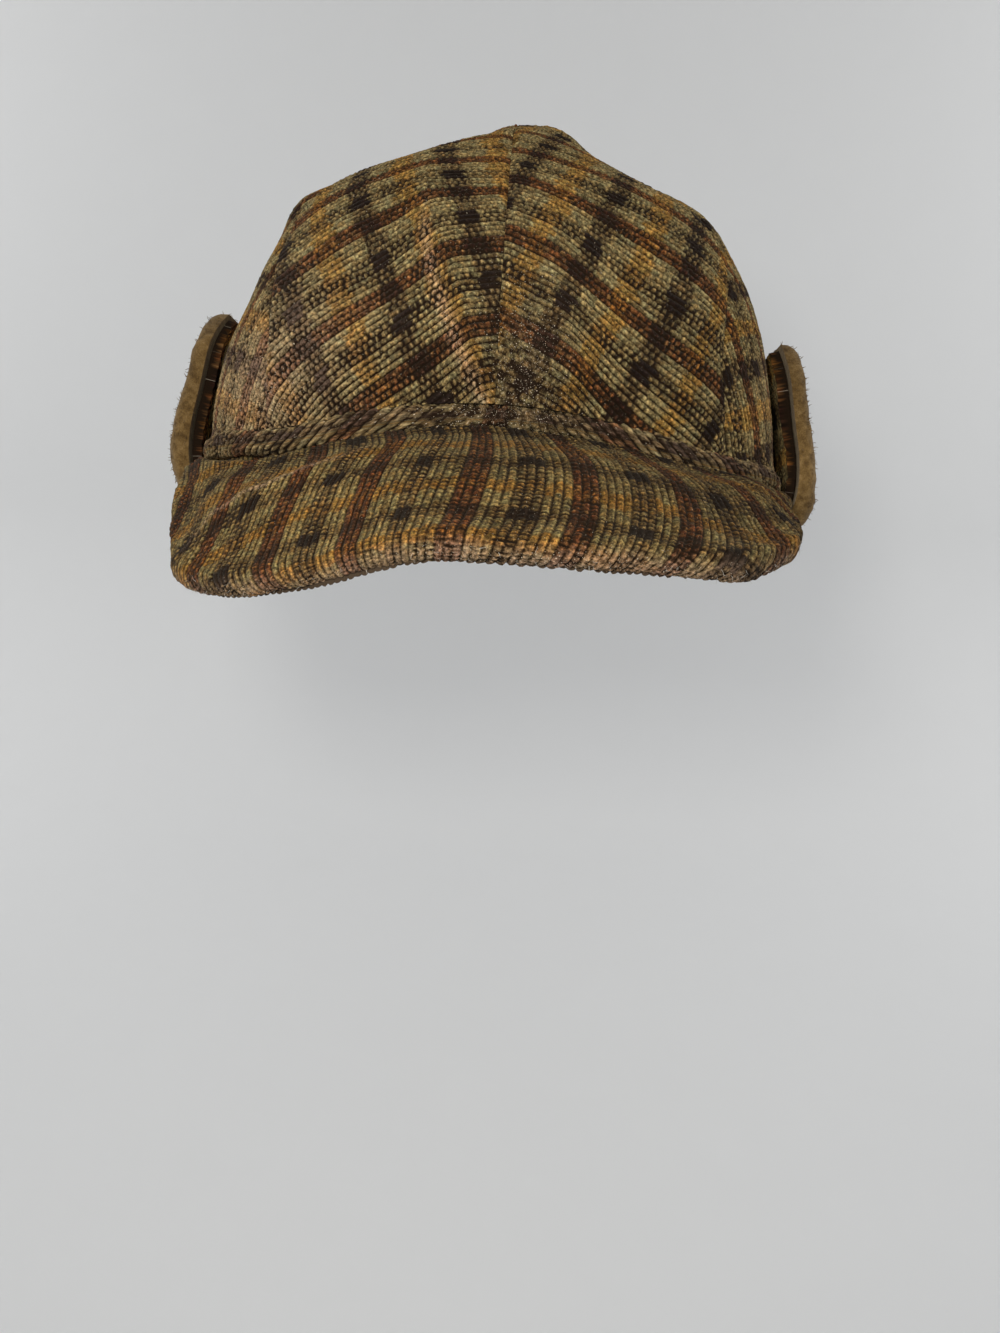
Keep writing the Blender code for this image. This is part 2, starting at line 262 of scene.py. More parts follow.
class CrownShape:
    """The crown's outside, as the CAD model has it, on numpy arrays."""

    NORMAL_BLEND = (0.85, 0.97)

    def row(self, rise: Array) -> Section:
        """Return the sections' columns at a rise."""
        table = smooth_read(CROWN_SECTIONS, rise)
        return Section(*(table[..., column] for column in range(table.shape[-1])))

    def seam(self, index: int, rise: Array) -> Array:
        """Return the bearing of a seam, counted round from the front, from 0 to 360."""
        row = self.row(rise)
        level = np.zeros_like(rise)
        places = (
            level,
            row.seam_right,
            level + BACK_SEAM,
            level + 180.0,
            level + 360.0 - BACK_SEAM,
            360.0 + row.seam_left,
            level + 360.0,
        )
        return places[index]

    def base(self, bearing: Array, rise: Array) -> Array:
        """Return the undented outside."""
        bearing, rise = np.broadcast_arrays(np.asarray(bearing, float), np.asarray(rise, float))
        row = self.row(rise)
        across = np.sin(np.radians(bearing))
        along = -np.cos(np.radians(bearing))
        power = row.squareness
        size = (np.abs(across) ** power + np.abs(along) ** power) ** (1.0 / power)
        across = across / size
        along = along / size
        middle_x = CROWN_SECTIONS[-1].left_x
        reach_x = np.where(across > 0.0, row.right_x, -row.left_x) - np.copysign(middle_x, across)
        lift = sum(
            change.height * bell(wrap_angle(bearing - change.bearing), change.reach)
            for change in RIM_LIFTS
        )
        height = row.side_z + 0.5 * (row.back_z - row.front_z) * along
        height = height + (0.5 * (row.front_z + row.back_z) - row.side_z) * along**2
        height = height + lift * (1.0 - smoothstep(rise / RIM_LIFT_TOP))
        middle_y = 0.5 * (row.front_y + row.back_y)
        half_y = 0.5 * (row.back_y - row.front_y)
        return np.stack([middle_x + across * reach_x, middle_y + along * half_y, height], -1)

    def normal(self, bearing: Array, rise: Array) -> Array:
        """Return the direction out of the undented crown."""
        step = 0.004
        low = np.clip(rise, step, 1.0 - 3.0 * step) - step
        around = self.base(bearing + 0.5, rise) - self.base(bearing - 0.5, rise)
        upward = self.base(bearing, low + 2.0 * step) - self.base(bearing, low)
        start, end = self.NORMAL_BLEND
        blend = smoothstep((rise - start) / (end - start))[..., None]
        return unit(unit(np.cross(around, upward)) * (1.0 - blend) + np.array((0.0, 0.0, 1.0)) * blend)

    def point(self, bearing: Array, rise: Array, lift: Numbers = 0.0) -> Array:
        """Return points a height above the dented outside."""
        push = sum(
            dent.depth
            * bell(wrap_angle(bearing - dent.bearing), dent.reach)
            * bell(rise - dent.rise, dent.rise_reach)
            for dent in CROWN_DENTS
        )
        height = np.asarray(push + lift)[..., None]
        return self.base(bearing, rise) + self.normal(bearing, rise) * height

    def rim(self, bearing: Array) -> tuple[Array, Array]:
        """Return the rim's points and the level directions out of it."""
        level = np.zeros_like(bearing)
        run = self.base(bearing + 1.0, level) - self.base(bearing - 1.0, level)
        outward = np.stack([run[..., 1], -run[..., 0], level], -1)
        return self.base(bearing, level), unit(outward)


CROWN = CrownShape()


def add_object(name: str, data: bpy.types.ID) -> bpy.types.Object:
    """Add an object to the scene."""
    item = bpy.data.objects.new(name, data)
    bpy.context.scene.collection.objects.link(item)
    return item


@dataclass
class Skin:
    """A mesh in the making.

    Attributes:
        points: the places of its points.
        cloth: each point's cloth coordinates.
        pile: three shares for each point: its height in the pile, from 0 in a gap to 1 on
            a wale, how worn it is and how thickly loose fibres stand on it.
        faces: the corners of each face.
        slots: the material slot of each face.
        wrap: the length after which the second cloth coordinate starts again, on a ring.
    """

    points: Array
    cloth: Array
    pile: Array
    faces: list[Face]
    slots: Array
    wrap: float = 0.0

    def join(self, other: "Skin") -> "Skin":
        """Return this skin and another as one."""
        shift = len(self.points)
        moved = [tuple(corner + shift for corner in face) for face in other.faces]
        return Skin(
            np.vstack([self.points, other.points]),
            np.vstack([self.cloth, other.cloth]),
            np.vstack([self.pile, other.pile]),
            self.faces + moved,
            np.concatenate([self.slots, other.slots]),
        )

    def volume(self) -> float:
        """Return six times the volume inside the faces, below 0 if they face inwards."""
        total = 0.0
        for size in (3, 4):
            corners = np.array([face for face in self.faces if len(face) == size], int).reshape(-1, size)
            first = self.points[corners[:, 0]]
            for step in range(1, size - 1):
                second = self.points[corners[:, step]]
                third = self.points[corners[:, step + 1]]
                total += float(np.einsum("ij,ij->", first, np.cross(second, third)))
        return total

    def face_out(self) -> "Skin":
        """Turn the faces outwards if they face inwards."""
        if self.volume() < 0.0:
            self.faces = [face[::-1] for face in self.faces]
        return self

    def make(self, name: str, materials: Materials, sharp: float = 62.0) -> bpy.types.Object:
        """Make the skin an object.

        Args:
            name: the object's name.
            materials: its material slots in order.
            sharp: the bend in degrees past which an edge is drawn sharp.

        Returns:
            The new object, linked to the scene.
        """
        mesh = bpy.data.meshes.new(name)
        mesh.from_pydata(self.points.tolist(), [], self.faces)
        corners = np.zeros(len(mesh.loops), np.int32)
        mesh.loops.foreach_get("vertex_index", corners)
        layer = mesh.uv_layers.new(name="cloth")
        places = self.cloth[corners]
        if self.wrap:
            sizes = [len(face) for face in self.faces]
            ahead = np.repeat([max(self.cloth[corner, 1] for corner in face) for face in self.faces], sizes)
            places[:, 1] += self.wrap * (ahead - places[:, 1] > 0.5 * self.wrap)
        layer.data.foreach_set("uv", places.astype(np.float32).ravel())
        pile = mesh.attributes.new("pile", "FLOAT_VECTOR", "POINT")
        pile.data.foreach_set("vector", self.pile.astype(np.float32).ravel())
        mesh.polygons.foreach_set("material_index", self.slots.astype(np.int32))
        for material in materials:
            mesh.materials.append(material)
        mesh.shade_smooth()
        mesh.set_sharp_from_angle(angle=math.radians(sharp))
        mesh.update()
        return add_object(name, mesh)


def grid_faces(rows: int, columns: int, wrap_rows: int = 0, wrap_columns: int = 0) -> list[Face]:
    """Return the faces of a lattice of points.

    Args:
        rows: how many rows of points there are.
        columns: how many points there are in a row.
        wrap_rows: 1 if the last row meets the first.
        wrap_columns: 1 if each row meets its own start.

    Returns:
        The corners of each face.
    """
    number = np.arange(rows * columns).reshape(rows, columns)
    number = np.pad(number, ((0, wrap_rows), (0, wrap_columns)), mode="wrap")
    cells = np.stack([number[:-1, :-1], number[:-1, 1:], number[1:, 1:], number[1:, :-1]], -1)
    return [tuple(cell) for cell in cells.reshape(-1, 4).tolist()]


def clip_grid(values: Array, level: Array, valid: Array, snap: float) -> tuple[Array, list[Face]]:
    """Cut a grid of points along the line where a level is 0.

    Args:
        values: rows by columns of the numbers that go with each grid point.
        level: how far inside each point is, below 0 outside.
        valid: the points that may be used at all.
        snap: levels nearer to 0 than this count as 0.

    Returns:
        The numbers of the points that are left or were added, and the faces.
    """
    rows, columns = level.shape
    flat = values.reshape(rows * columns, -1)
    height = np.where(np.abs(level) < snap, 0.0, level).ravel()
    inside = height >= 0.0
    cells = np.array(grid_faces(rows, columns))
    cells = cells[valid.ravel()[cells].all(1)]
    count = inside[cells].sum(1)
    faces = [tuple(cell) for cell in cells[count == 4].tolist()]
    extra: list[Array] = []
    cuts: dict[tuple[int, int], int] = {}

    def cut(near: int, far: int) -> int:
        """Return the point where an edge leaves the inside."""
        if height[near] == 0.0:
            return near
        if (near, far) not in cuts:
            share = height[near] / (height[near] - height[far])
            cuts[near, far] = len(flat) + len(extra)
            extra.append(flat[near] * (1.0 - share) + flat[far] * share)
        return cuts[near, far]

    for cell in cells[(count > 0) & (count < 4)].tolist():
        for triangle in ((cell[0], cell[1], cell[2]), (cell[0], cell[2], cell[3])):
            outline: list[int] = []
            for place, corner in enumerate(triangle):
                after = triangle[(place + 1) % 3]
                if inside[corner]:
                    outline.append(corner)
                    if not inside[after]:
                        outline.append(cut(corner, after))
                elif inside[after]:
                    outline.append(cut(after, corner))
            outline = [corner for place, corner in enumerate(outline) if corner != outline[place - 1]]
            if len(outline) > 2:
                faces.append(tuple(outline))
    every = np.vstack([flat, np.array(extra).reshape(-1, flat.shape[1])])
    return drop_unused(every, faces)


def drop_unused(values: Array, faces: list[Face]) -> tuple[Array, list[Face]]:
    """Leave out the points that no face uses."""
    used = np.unique(np.concatenate([np.array(face) for face in faces]))
    place = np.full(len(values), -1)
    place[used] = np.arange(len(used))
    lookup = place.tolist()
    return values[used], [tuple(lookup[corner] for corner in face) for face in faces]


def border_loop(faces: list[Face], count: int) -> list[int]:
    """Return the longest loop of corners round the free edge of some faces.

    Args:
        faces: the corners of each face.
        count: how many points there are.

    Returns:
        The corners in the order in which the faces run past them.
    """
    starts = np.concatenate([np.array(face) for face in faces])
    ends = np.concatenate([np.roll(np.array(face), -1) for face in faces])
    free = ~np.isin(starts.astype(np.int64) * count + ends, ends.astype(np.int64) * count + starts)
    after: dict[int, list[int]] = {}
    for start, end in zip(starts[free].tolist(), ends[free].tolist()):
        after.setdefault(start, []).append(end)
    best: list[int] = []
    while after:
        start = next(iter(after))
        loop = [start]
        here = after[start].pop()
        while here != start:
            loop.append(here)
            here = after[here].pop()
        after = {key: value for key, value in after.items() if value}
        if len(loop) > len(best):
            best = loop
    return best


def fill_loop(loop: Array, inner: Array) -> Array:
    """Fill a loop in the plane with triangles.

    Args:
        loop: the loop's points.
        inner: loose points inside it that are to be used.

    Returns:
        Triangles that turn the loop's way, with corners in the loop and then the loose points.
    """
    places = [Vector(place) for place in np.vstack([loop, inner]).tolist()]
    count = len(loop)
    edges = [(place, (place + 1) % count) for place in range(count)]
    _, _, faces, sources, _, _ = delaunay_2d_cdt(places, edges, [], 1, 1e-9)
    return np.array([[sources[corner][0] for corner in face] for face in faces])


def close_sheet(front: Skin, values: Array, inner: Reader, spread: Array, back_slot: int) -> Skin:
    """Give a one-sided sheet its thickness: a plain back and a narrow edge.

    Args:
        front: the sheet's outside.
        values: the numbers that go with each of its points.
        inner: gives the back's points from such numbers.
        spread: marks the points under which the back has a point of its own.
        back_slot: the back's material slot.

    Returns:
        The closed sheet.
    """
    loop = np.array(border_loop(front.faces, len(front.points)))
    on_loop = np.zeros(len(front.points), bool)
    on_loop[loop] = True
    loose = np.flatnonzero(spread & ~on_loop)
    sources = np.concatenate([loop, loose])
    back_faces = fill_loop(front.cloth[loop] * 1000.0, front.cloth[loose] * 1000.0)
    shift = len(front.points)
    place = front.cloth[loop]
    area = np.sum(cross(place, np.roll(place, -1, axis=0)))
    first, second, third = np.moveaxis(front.cloth[sources[back_faces]], 1, 0)
    turned = cross(second - first, third - first) * area > 0.0
    back_faces[turned] = back_faces[turned, ::-1]
    step = np.arange(len(loop)) + shift
    edge_faces = np.stack([np.roll(loop, -1), loop, step, np.roll(step, -1)], -1)
    faces = [tuple(face) for face in (back_faces + shift).tolist() + edge_faces.tolist()]
    return Skin(
        np.vstack([front.points, inner(values[sources])]),
        np.vstack([front.cloth, front.cloth[sources]]),
        np.vstack([front.pile, np.zeros((len(sources), 3))]),
        front.faces + faces,
        np.concatenate([front.slots, np.full(len(faces), back_slot)]),
    )


def mixed_share(u: Array, wale: Array) -> Array:
    """Return how far two colours of tufts mix, from 0 to 1: most where a dark or rust stripe crosses."""
    along = np.abs(np.mod(u / REPEAT + 0.5, 1.0) - 0.5)
    across = np.abs(np.mod((wale + 0.5) * PITCH / REPEAT + 0.5, 1.0) - 0.5)
    dark = smoothstep((CROSS_DARK_HALF + 0.03 - along) / 0.06)
    return np.where(across < DARK_HALF, 1.0 - dark, np.where(across > RUST_EDGE, 0.85, dark))


@dataclass(frozen=True)
class Nap:
    """The cloth's pile: its wales and the small marks across them.

    Attributes:
        crest: how far a wale's top stands above the CAD model's face.
        depth: from a wale's top down to the gap beside it.
        fullness: the share of the distance between two wales that a wale fills.
        furrow: how deep the small furrows across the wales are.
        furrow_length: from one furrow to the next.
        crush_depth: how far pressed pile sinks.
        mat_height: how uneven pressed pile is.
        offset: how far the furrows shift from one wale to the next, as a share of their distance.
        mixing: how much deeper the furrows are where two colours of tufts mix.
        width, lean: how a wale's width and the place of its top change.
        fray, mat: the unevenness of its tips, and of pressed pile.
        drift, shift: how the furrows' places change, over broad stretches and from wale to wale.
        stretch, own: how their depth changes, over broad stretches and one by one.
    """

    crest: float = 0.00034
    depth: float = 0.00090
    fullness: float = 1.0
    furrow: float = 0.00052
    furrow_length: float = 0.00160
    crush_depth: float = 0.00035
    mat_height: float = 0.00022
    offset: float = 0.45
    mixing: float = 0.68
    width: Wander = Wander(0.11, 0.0042, 1.7, 6)
    lean: Wander = Wander(0.34, 0.0034, 0.9, 7)
    fray: Wander = Wander(0.00013, 0.0009, 2.3, 10)
    mat: Wander = Wander(1.0, 0.0012, PITCH / 0.0011, 11)
    drift: Wander = Wander(1.3, 0.019, 0.055, 3)
    shift: Wander = Wander(0.28, 0.004, 7.3, 4)
    stretch: Wander = Wander(0.45, 0.009, 0.25, 5)
    own: Wander = Wander(0.85, 0.0015, 3.1, 8)

    def read(
        self, cloth: Array, crush: Numbers = 0.0, wear: Numbers = 0.0, beads: Numbers = 0.0
    ) -> tuple[Array, Array]:
        """Return the pile's height above the CAD face and its three shares.

        Args:
            cloth: cloth coordinates.
            crush: from 0 to 1, how flat the pile is pressed.
            wear: from 0 to 1, how worn its tips are.
            beads: how much deeper the furrows are than elsewhere, below 0 for shallower.

        Returns:
            The height in metres and the shares of height, wear and fibres, for each point.
        """
        u = cloth[:, 0]
        place = cloth[:, 1] / PITCH
        wale = np.floor(place + 1e-6)
        across = 2.0 * (place - wale) - 1.0
        across = across + self.lean.at(u, wale) * (1.0 - across**2)
        across = across / (self.fullness + self.width.at(u, wale))
        arch = np.sqrt(np.clip(1.0 - across**2, 0.0, 1.0))
        bite = self.bites(u, place, wale, beads) * (1.0 - 0.5 * crush)
        mat = self.mat.at(u, place)
        height = self.crest + self.depth * (1.0 - 0.6 * crush) * (arch - 1.0) - bite * arch
        height = height + self.fray.at(u, place) * arch - self.crush_depth * crush
        height = height + self.mat_height * crush * mat
        # The first share is also the mask of the painted shade: low in gaps and furrows, which the shader
        # draws darker.
        share = arch - 1.5 * bite / self.depth
        share = np.clip(share + crush * 0.75 * (0.38 + 0.60 * mat - share), 0.0, 1.0)
        level = np.zeros_like(share)
        return height, np.stack([share, level + wear, level + crush], -1)

    def bites(self, u: Array, place: Array, wale: Array, beads: Numbers) -> Array:
        """Return the depth of the furrows, deep in some stretches and faint in others."""
        turn = u / self.furrow_length + self.drift.at(u, place)
        turn = turn + (self.shift.at(u, wale) + self.offset * np.mod(wale, 2.0))
        furrow = (0.5 + 0.5 * np.cos(2.0 * np.pi * turn)) ** 1.8
        stretch = 0.12 + self.stretch.at(u, place) + 0.5 * beads + self.mixing * mixed_share(u, wale)
        depth = 0.06 + 0.94 * np.clip(stretch, 0.0, 1.1)
        return self.furrow * furrow * depth * (1.0 + self.own.at(u, wale))


NAP = Nap()
PEAK_NAP = Nap(offset=0.06, depth=0.00080, fullness=1.12, mixing=0.50)


class Pin(NamedTuple):
    """A crossing of the plaid's dark stripes that is seen at a place of the crown.

    Column and row count repeats, the column along the wales towards the wearer's left
    and the row across them, downwards.
    """

    bearing: float
    rise: float
    column: float
    row: float


class Crease(NamedTuple):
    """A fold line of the crown: bearings and rises along it, its height and its width."""

    line: tuple[tuple[float, float], ...]
    height: float
    width: float
    sharpness: float


class Bend(NamedTuple):
    """A line at which a cloth's wales turn.

    It has two ends, a turn, a softness in metres and the share of its length past its
    second end over which it fades, 0 for not at all.
    """

    start: tuple[float, float]
    end: tuple[float, float]
    turn: float
    softness: float
    fade: float = 0.0


CREASES = (
    Crease(
        ((-22.0, 0.70), (-18.5, 0.60), (-12.0, 0.444), (-6.0, 0.276), (-3.5, 0.128), (-2.5, 0.02)),
        0.0028,
        0.013,
        0.0007,
    ),
    Crease(((9.0, 0.50), (8.0, 0.40), (8.5, 0.28), (11.5, 0.14), (14.0, 0.06)), 0.0020, 0.014, 0.0022),
)


def crease_height(points: Array) -> Array:
    """Return how far the creases push the crown's points out."""
    total = np.zeros(len(points))
    for crease in CREASES:
        line = np.array(crease.line)
        nearest, along = line_gap(points, CROWN.base(line[:, 0], line[:, 1]))
        fade = np.sin(np.pi * np.clip(0.12 + 0.80 * along, 0.0, 1.0))
        rounded = np.sqrt(nearest**2 + crease.sharpness**2) - crease.sharpness
        total += crease.height * np.exp(-rounded / crease.width) * np.sqrt(fade)
    return total


def line_gap(points: Array, knots: Array) -> tuple[Array, Array]:
    """Return how far points are from a bent line, and how far along it they are, from 0 to 1."""
    nearest = np.full(len(points), np.inf)
    along = np.zeros(len(points))
    for place, (start, end) in enumerate(zip(knots[:-1], knots[1:])):
        run = end - start
        share = np.clip((points - start) @ run / (run @ run), 0.0, 1.0)
        gap = np.linalg.norm(points - (start + share[:, None] * run), axis=1)
        along = np.where(gap < nearest, (place + share) / (len(knots) - 1), along)
        nearest = np.minimum(nearest, gap)
    return nearest, along


@dataclass(frozen=True)
class Disc:
    """Names places on the crown by spots on a disc round a middle bearing.

    A spot is (1 - rise) times the sine and the minus cosine of the bearing from the middle.
    """

    middle: float

    def spots(self, bearing: Array, rise: Array) -> Array:
        """Return the spots of bearings and rises."""
        turn = np.radians(wrap_angle(bearing - self.middle))
        return np.stack([(1.0 - rise) * np.sin(turn), -(1.0 - rise) * np.cos(turn)], -1)

    def places(self, spots: Array) -> tuple[Array, Array]:
        """Return the bearings and rises of spots."""
        turn = np.degrees(np.arctan2(spots[..., 0], -spots[..., 1]))
        return self.middle + turn, 1.0 - np.hypot(spots[..., 0], spots[..., 1])

    def surface(self, spots: Array) -> Array:
        """Return the crown's points at spots."""
        return CROWN.point(*self.places(spots))


class ClothMap:
    """How cloth lies on a surface: cloth coordinates as a smooth function of spots.

    A spot is a pair of numbers that names a place on the surface.  The map keeps the
    cloth as near to its flat size as it can while it follows the pins.
    """

    DEGREE = 4
    ROUNDS = 40
    PIN_SLACK = 0.0009
    PIN_SHARE = 0.55
    STEP = 0.0005
    # The search for a place: its first lattice, its rounds, its longest move and how near it has
    # to start and to come, in metres
    LATTICE = 60
    FIND_ROUNDS = 7
    LONGEST = 0.0065
    NEAR = 0.006
    FOUND = 0.00002

    def __init__(
        self,
        surface: Reader,
        spots: Array,
        size: float,
        lay: float,
        pins: tuple[Array, Array],
        bends: Sequence[Bend] = (),
        ease: float = 1.0,
        slack: float = 0.10,
    ) -> None:
        """Fit the map.

        Args:
            surface: gives the surface's points at spots.
            spots: spots spread over the whole of the cloth.
            size: the length in metres of one unit of a spot.
            lay: the angle in degrees of the wales from the first direction, at the start.
            pins: the spots and the cloth coordinates of the plaid's crossings that are seen.
            bends: the lines, between spots, at which the wales turn.
            ease: how long the cloth is for each unit of the surface.
            slack: how far it may be stretched beyond that.
        """
        self.surface = surface
        self.size = size
        self.bends = bends
        self.ease = ease
        self.slack = slack
        self.known = spots
        self.centre = spots.mean(0)
        self.scale = 1.0 / np.abs(spots - self.centre).max()
        self.powers = [(a, b) for a in range(self.DEGREE + 1) for b in range(self.DEGREE + 1 - a)]
        self.fit(lay, *pins)

    def terms(self, spots: Array) -> Array:
        """Return the polynomial's terms."""
        x, y = ((spots - self.centre) * self.scale).T
        return np.stack([x**a * y**b for a, b in self.powers], -1)

    def slopes(self, spots: Array) -> Array:
        """Return the terms' slopes along both directions."""
        x, y = ((spots - self.centre) * self.scale).T
        along_x = np.stack([a * x ** max(a - 1, 0) * y**b for a, b in self.powers], -1)
        along_y = np.stack([b * x**a * y ** max(b - 1, 0) for a, b in self.powers], -1)
        return np.stack([along_x, along_y], -1) * self.scale

    def bend_move(self, spots: Array) -> Array:
        """Return how far the bends move the cloth across its wales."""
        move = np.zeros(len(spots))
        for bend in self.bends:
            start = np.array(bend.start)
            run = np.array(bend.end) - start
            side = np.array((run[1], -run[0])) / np.linalg.norm(run)
            gap = (spots - start) @ side * self.size
            part = bend.turn * np.sqrt(gap**2 + bend.softness**2)
            if bend.fade:
                part = part * (1.0 - smoothstep(((spots - start) @ run / (run @ run) - 1.0) / bend.fade))
            move += part
        return move

    def slope(self, value: Reader, spots: Array) -> Array:
        """Return how fast a value of spots changes along both directions."""
        step = self.STEP / self.size
        parts = [value(spots + shift) - value(spots - shift) for shift in np.eye(2) * step]
        return np.stack(parts, -1) / (2.0 * step)

    def fit(self, lay: float, pin_spots: Array, pin_cloth: Array) -> None:
        """Solve for the map by turns of finding each spot's turn and the terms' weights."""
        _, upper = np.linalg.qr(self.slope(self.surface, self.known))
        signs = np.sign(np.diagonal(upper, axis1=1, axis2=2))
        upper = upper * signs[:, :, None]
        weight = np.sqrt(np.abs(np.linalg.det(upper)))
        weight = weight / np.sqrt((weight**2).sum()) / self.slack
        inverse = np.linalg.inv(upper)
        local = np.einsum("mkd,mde->mek", self.slopes(self.known), inverse)
        rows = (local * weight[:, None, None]).reshape(-1, len(self.powers))
        firmness = self.PIN_SHARE / self.PIN_SLACK / math.sqrt(max(len(pin_spots), 1))
        solver = np.linalg.pinv(np.vstack([rows, self.terms(pin_spots) * firmness]), rcond=1e-8)
        turn = np.full(len(self.known), math.radians(lay))
        targets = pin_cloth.copy()
        targets[:, 1] -= self.bend_move(pin_spots)
        bent = np.einsum("md,mde->me", self.slope(self.bend_move, self.known), inverse)
        for _ in range(self.ROUNDS):
            along = self.ease * np.stack([np.cos(turn), np.sin(turn)], -1)
            across = self.ease * np.stack([-np.sin(turn), np.cos(turn)], -1) - bent
            wishes = np.stack([(along * weight[:, None]).ravel(), (across * weight[:, None]).ravel()], -1)
            self.weights = solver @ np.vstack([wishes, targets * firmness])
            found = np.einsum("mek,kc->mec", local, self.weights)
            found[:, :, 1] += bent
            turn = np.arctan2(found[:, 1, 0] - found[:, 0, 1], found[:, 0, 0] + found[:, 1, 1])

    def cloth(self, spots: Array) -> Array:
        """Return the cloth coordinates at spots."""
        flat = self.terms(spots) @ self.weights
        flat[:, 1] += self.bend_move(spots)
        return flat

    def grid(self, row_length: float, step: float) -> Array:
        """Return a grid of cloth coordinates that covers the cloth, in rows along v."""
        low, high = self.cloth(self.known).min(0) - 0.003, self.cloth(self.known).max(0) + 0.003
        u = np.arange(math.floor(low[0] / row_length), math.ceil(high[0] / row_length) + 1) * row_length
        v = np.arange(math.floor(low[1] / step), math.ceil(high[1] / step) + 1) * step
        return np.stack(np.meshgrid(u, v), -1)

    def find(self, cloth: Array) -> tuple[Array, Array]:
        """Find where places of the cloth lie.

        Args:
            cloth: cloth coordinates.

        Returns:
            Their spots, and whether each was found.
        """
        low = self.known.min(0)
        high = self.known.max(0)
        over = 0.06 * (high - low)
        axes = [np.linspace(low[k] - over[k], high[k] + over[k], self.LATTICE) for k in (0, 1)]
        lattice = np.stack(np.meshgrid(*axes), -1).reshape(-1, 2)
        tree = KDTree(len(lattice))
        for number, place in enumerate(self.cloth(lattice).tolist()):
            tree.insert((place[0], place[1], 0.0), number)
        tree.balance()
        nearest = np.array([tree.find((u, v, 0.0))[1:] for u, v in cloth.tolist()])
        spots = lattice[nearest[:, 0].astype(int)].copy()
        limit = self.LONGEST / self.size
        for _ in range(self.FIND_ROUNDS):
            miss = cloth - self.cloth(spots)
            jacobian = np.einsum("mkd,kc->mcd", self.slopes(spots), self.weights)
            jacobian[:, 1, :] += self.slope(self.bend_move, spots)
            move = np.linalg.solve(jacobian, miss[..., None])[..., 0]
            length = np.linalg.norm(move, axis=1, keepdims=True)
            spots += move * np.minimum(1.0, limit / np.maximum(length, 1e-9))
        miss = np.linalg.norm(cloth - self.cloth(spots), axis=1)
        return spots, (miss < self.FOUND) & (nearest[:, 1] < self.NEAR)


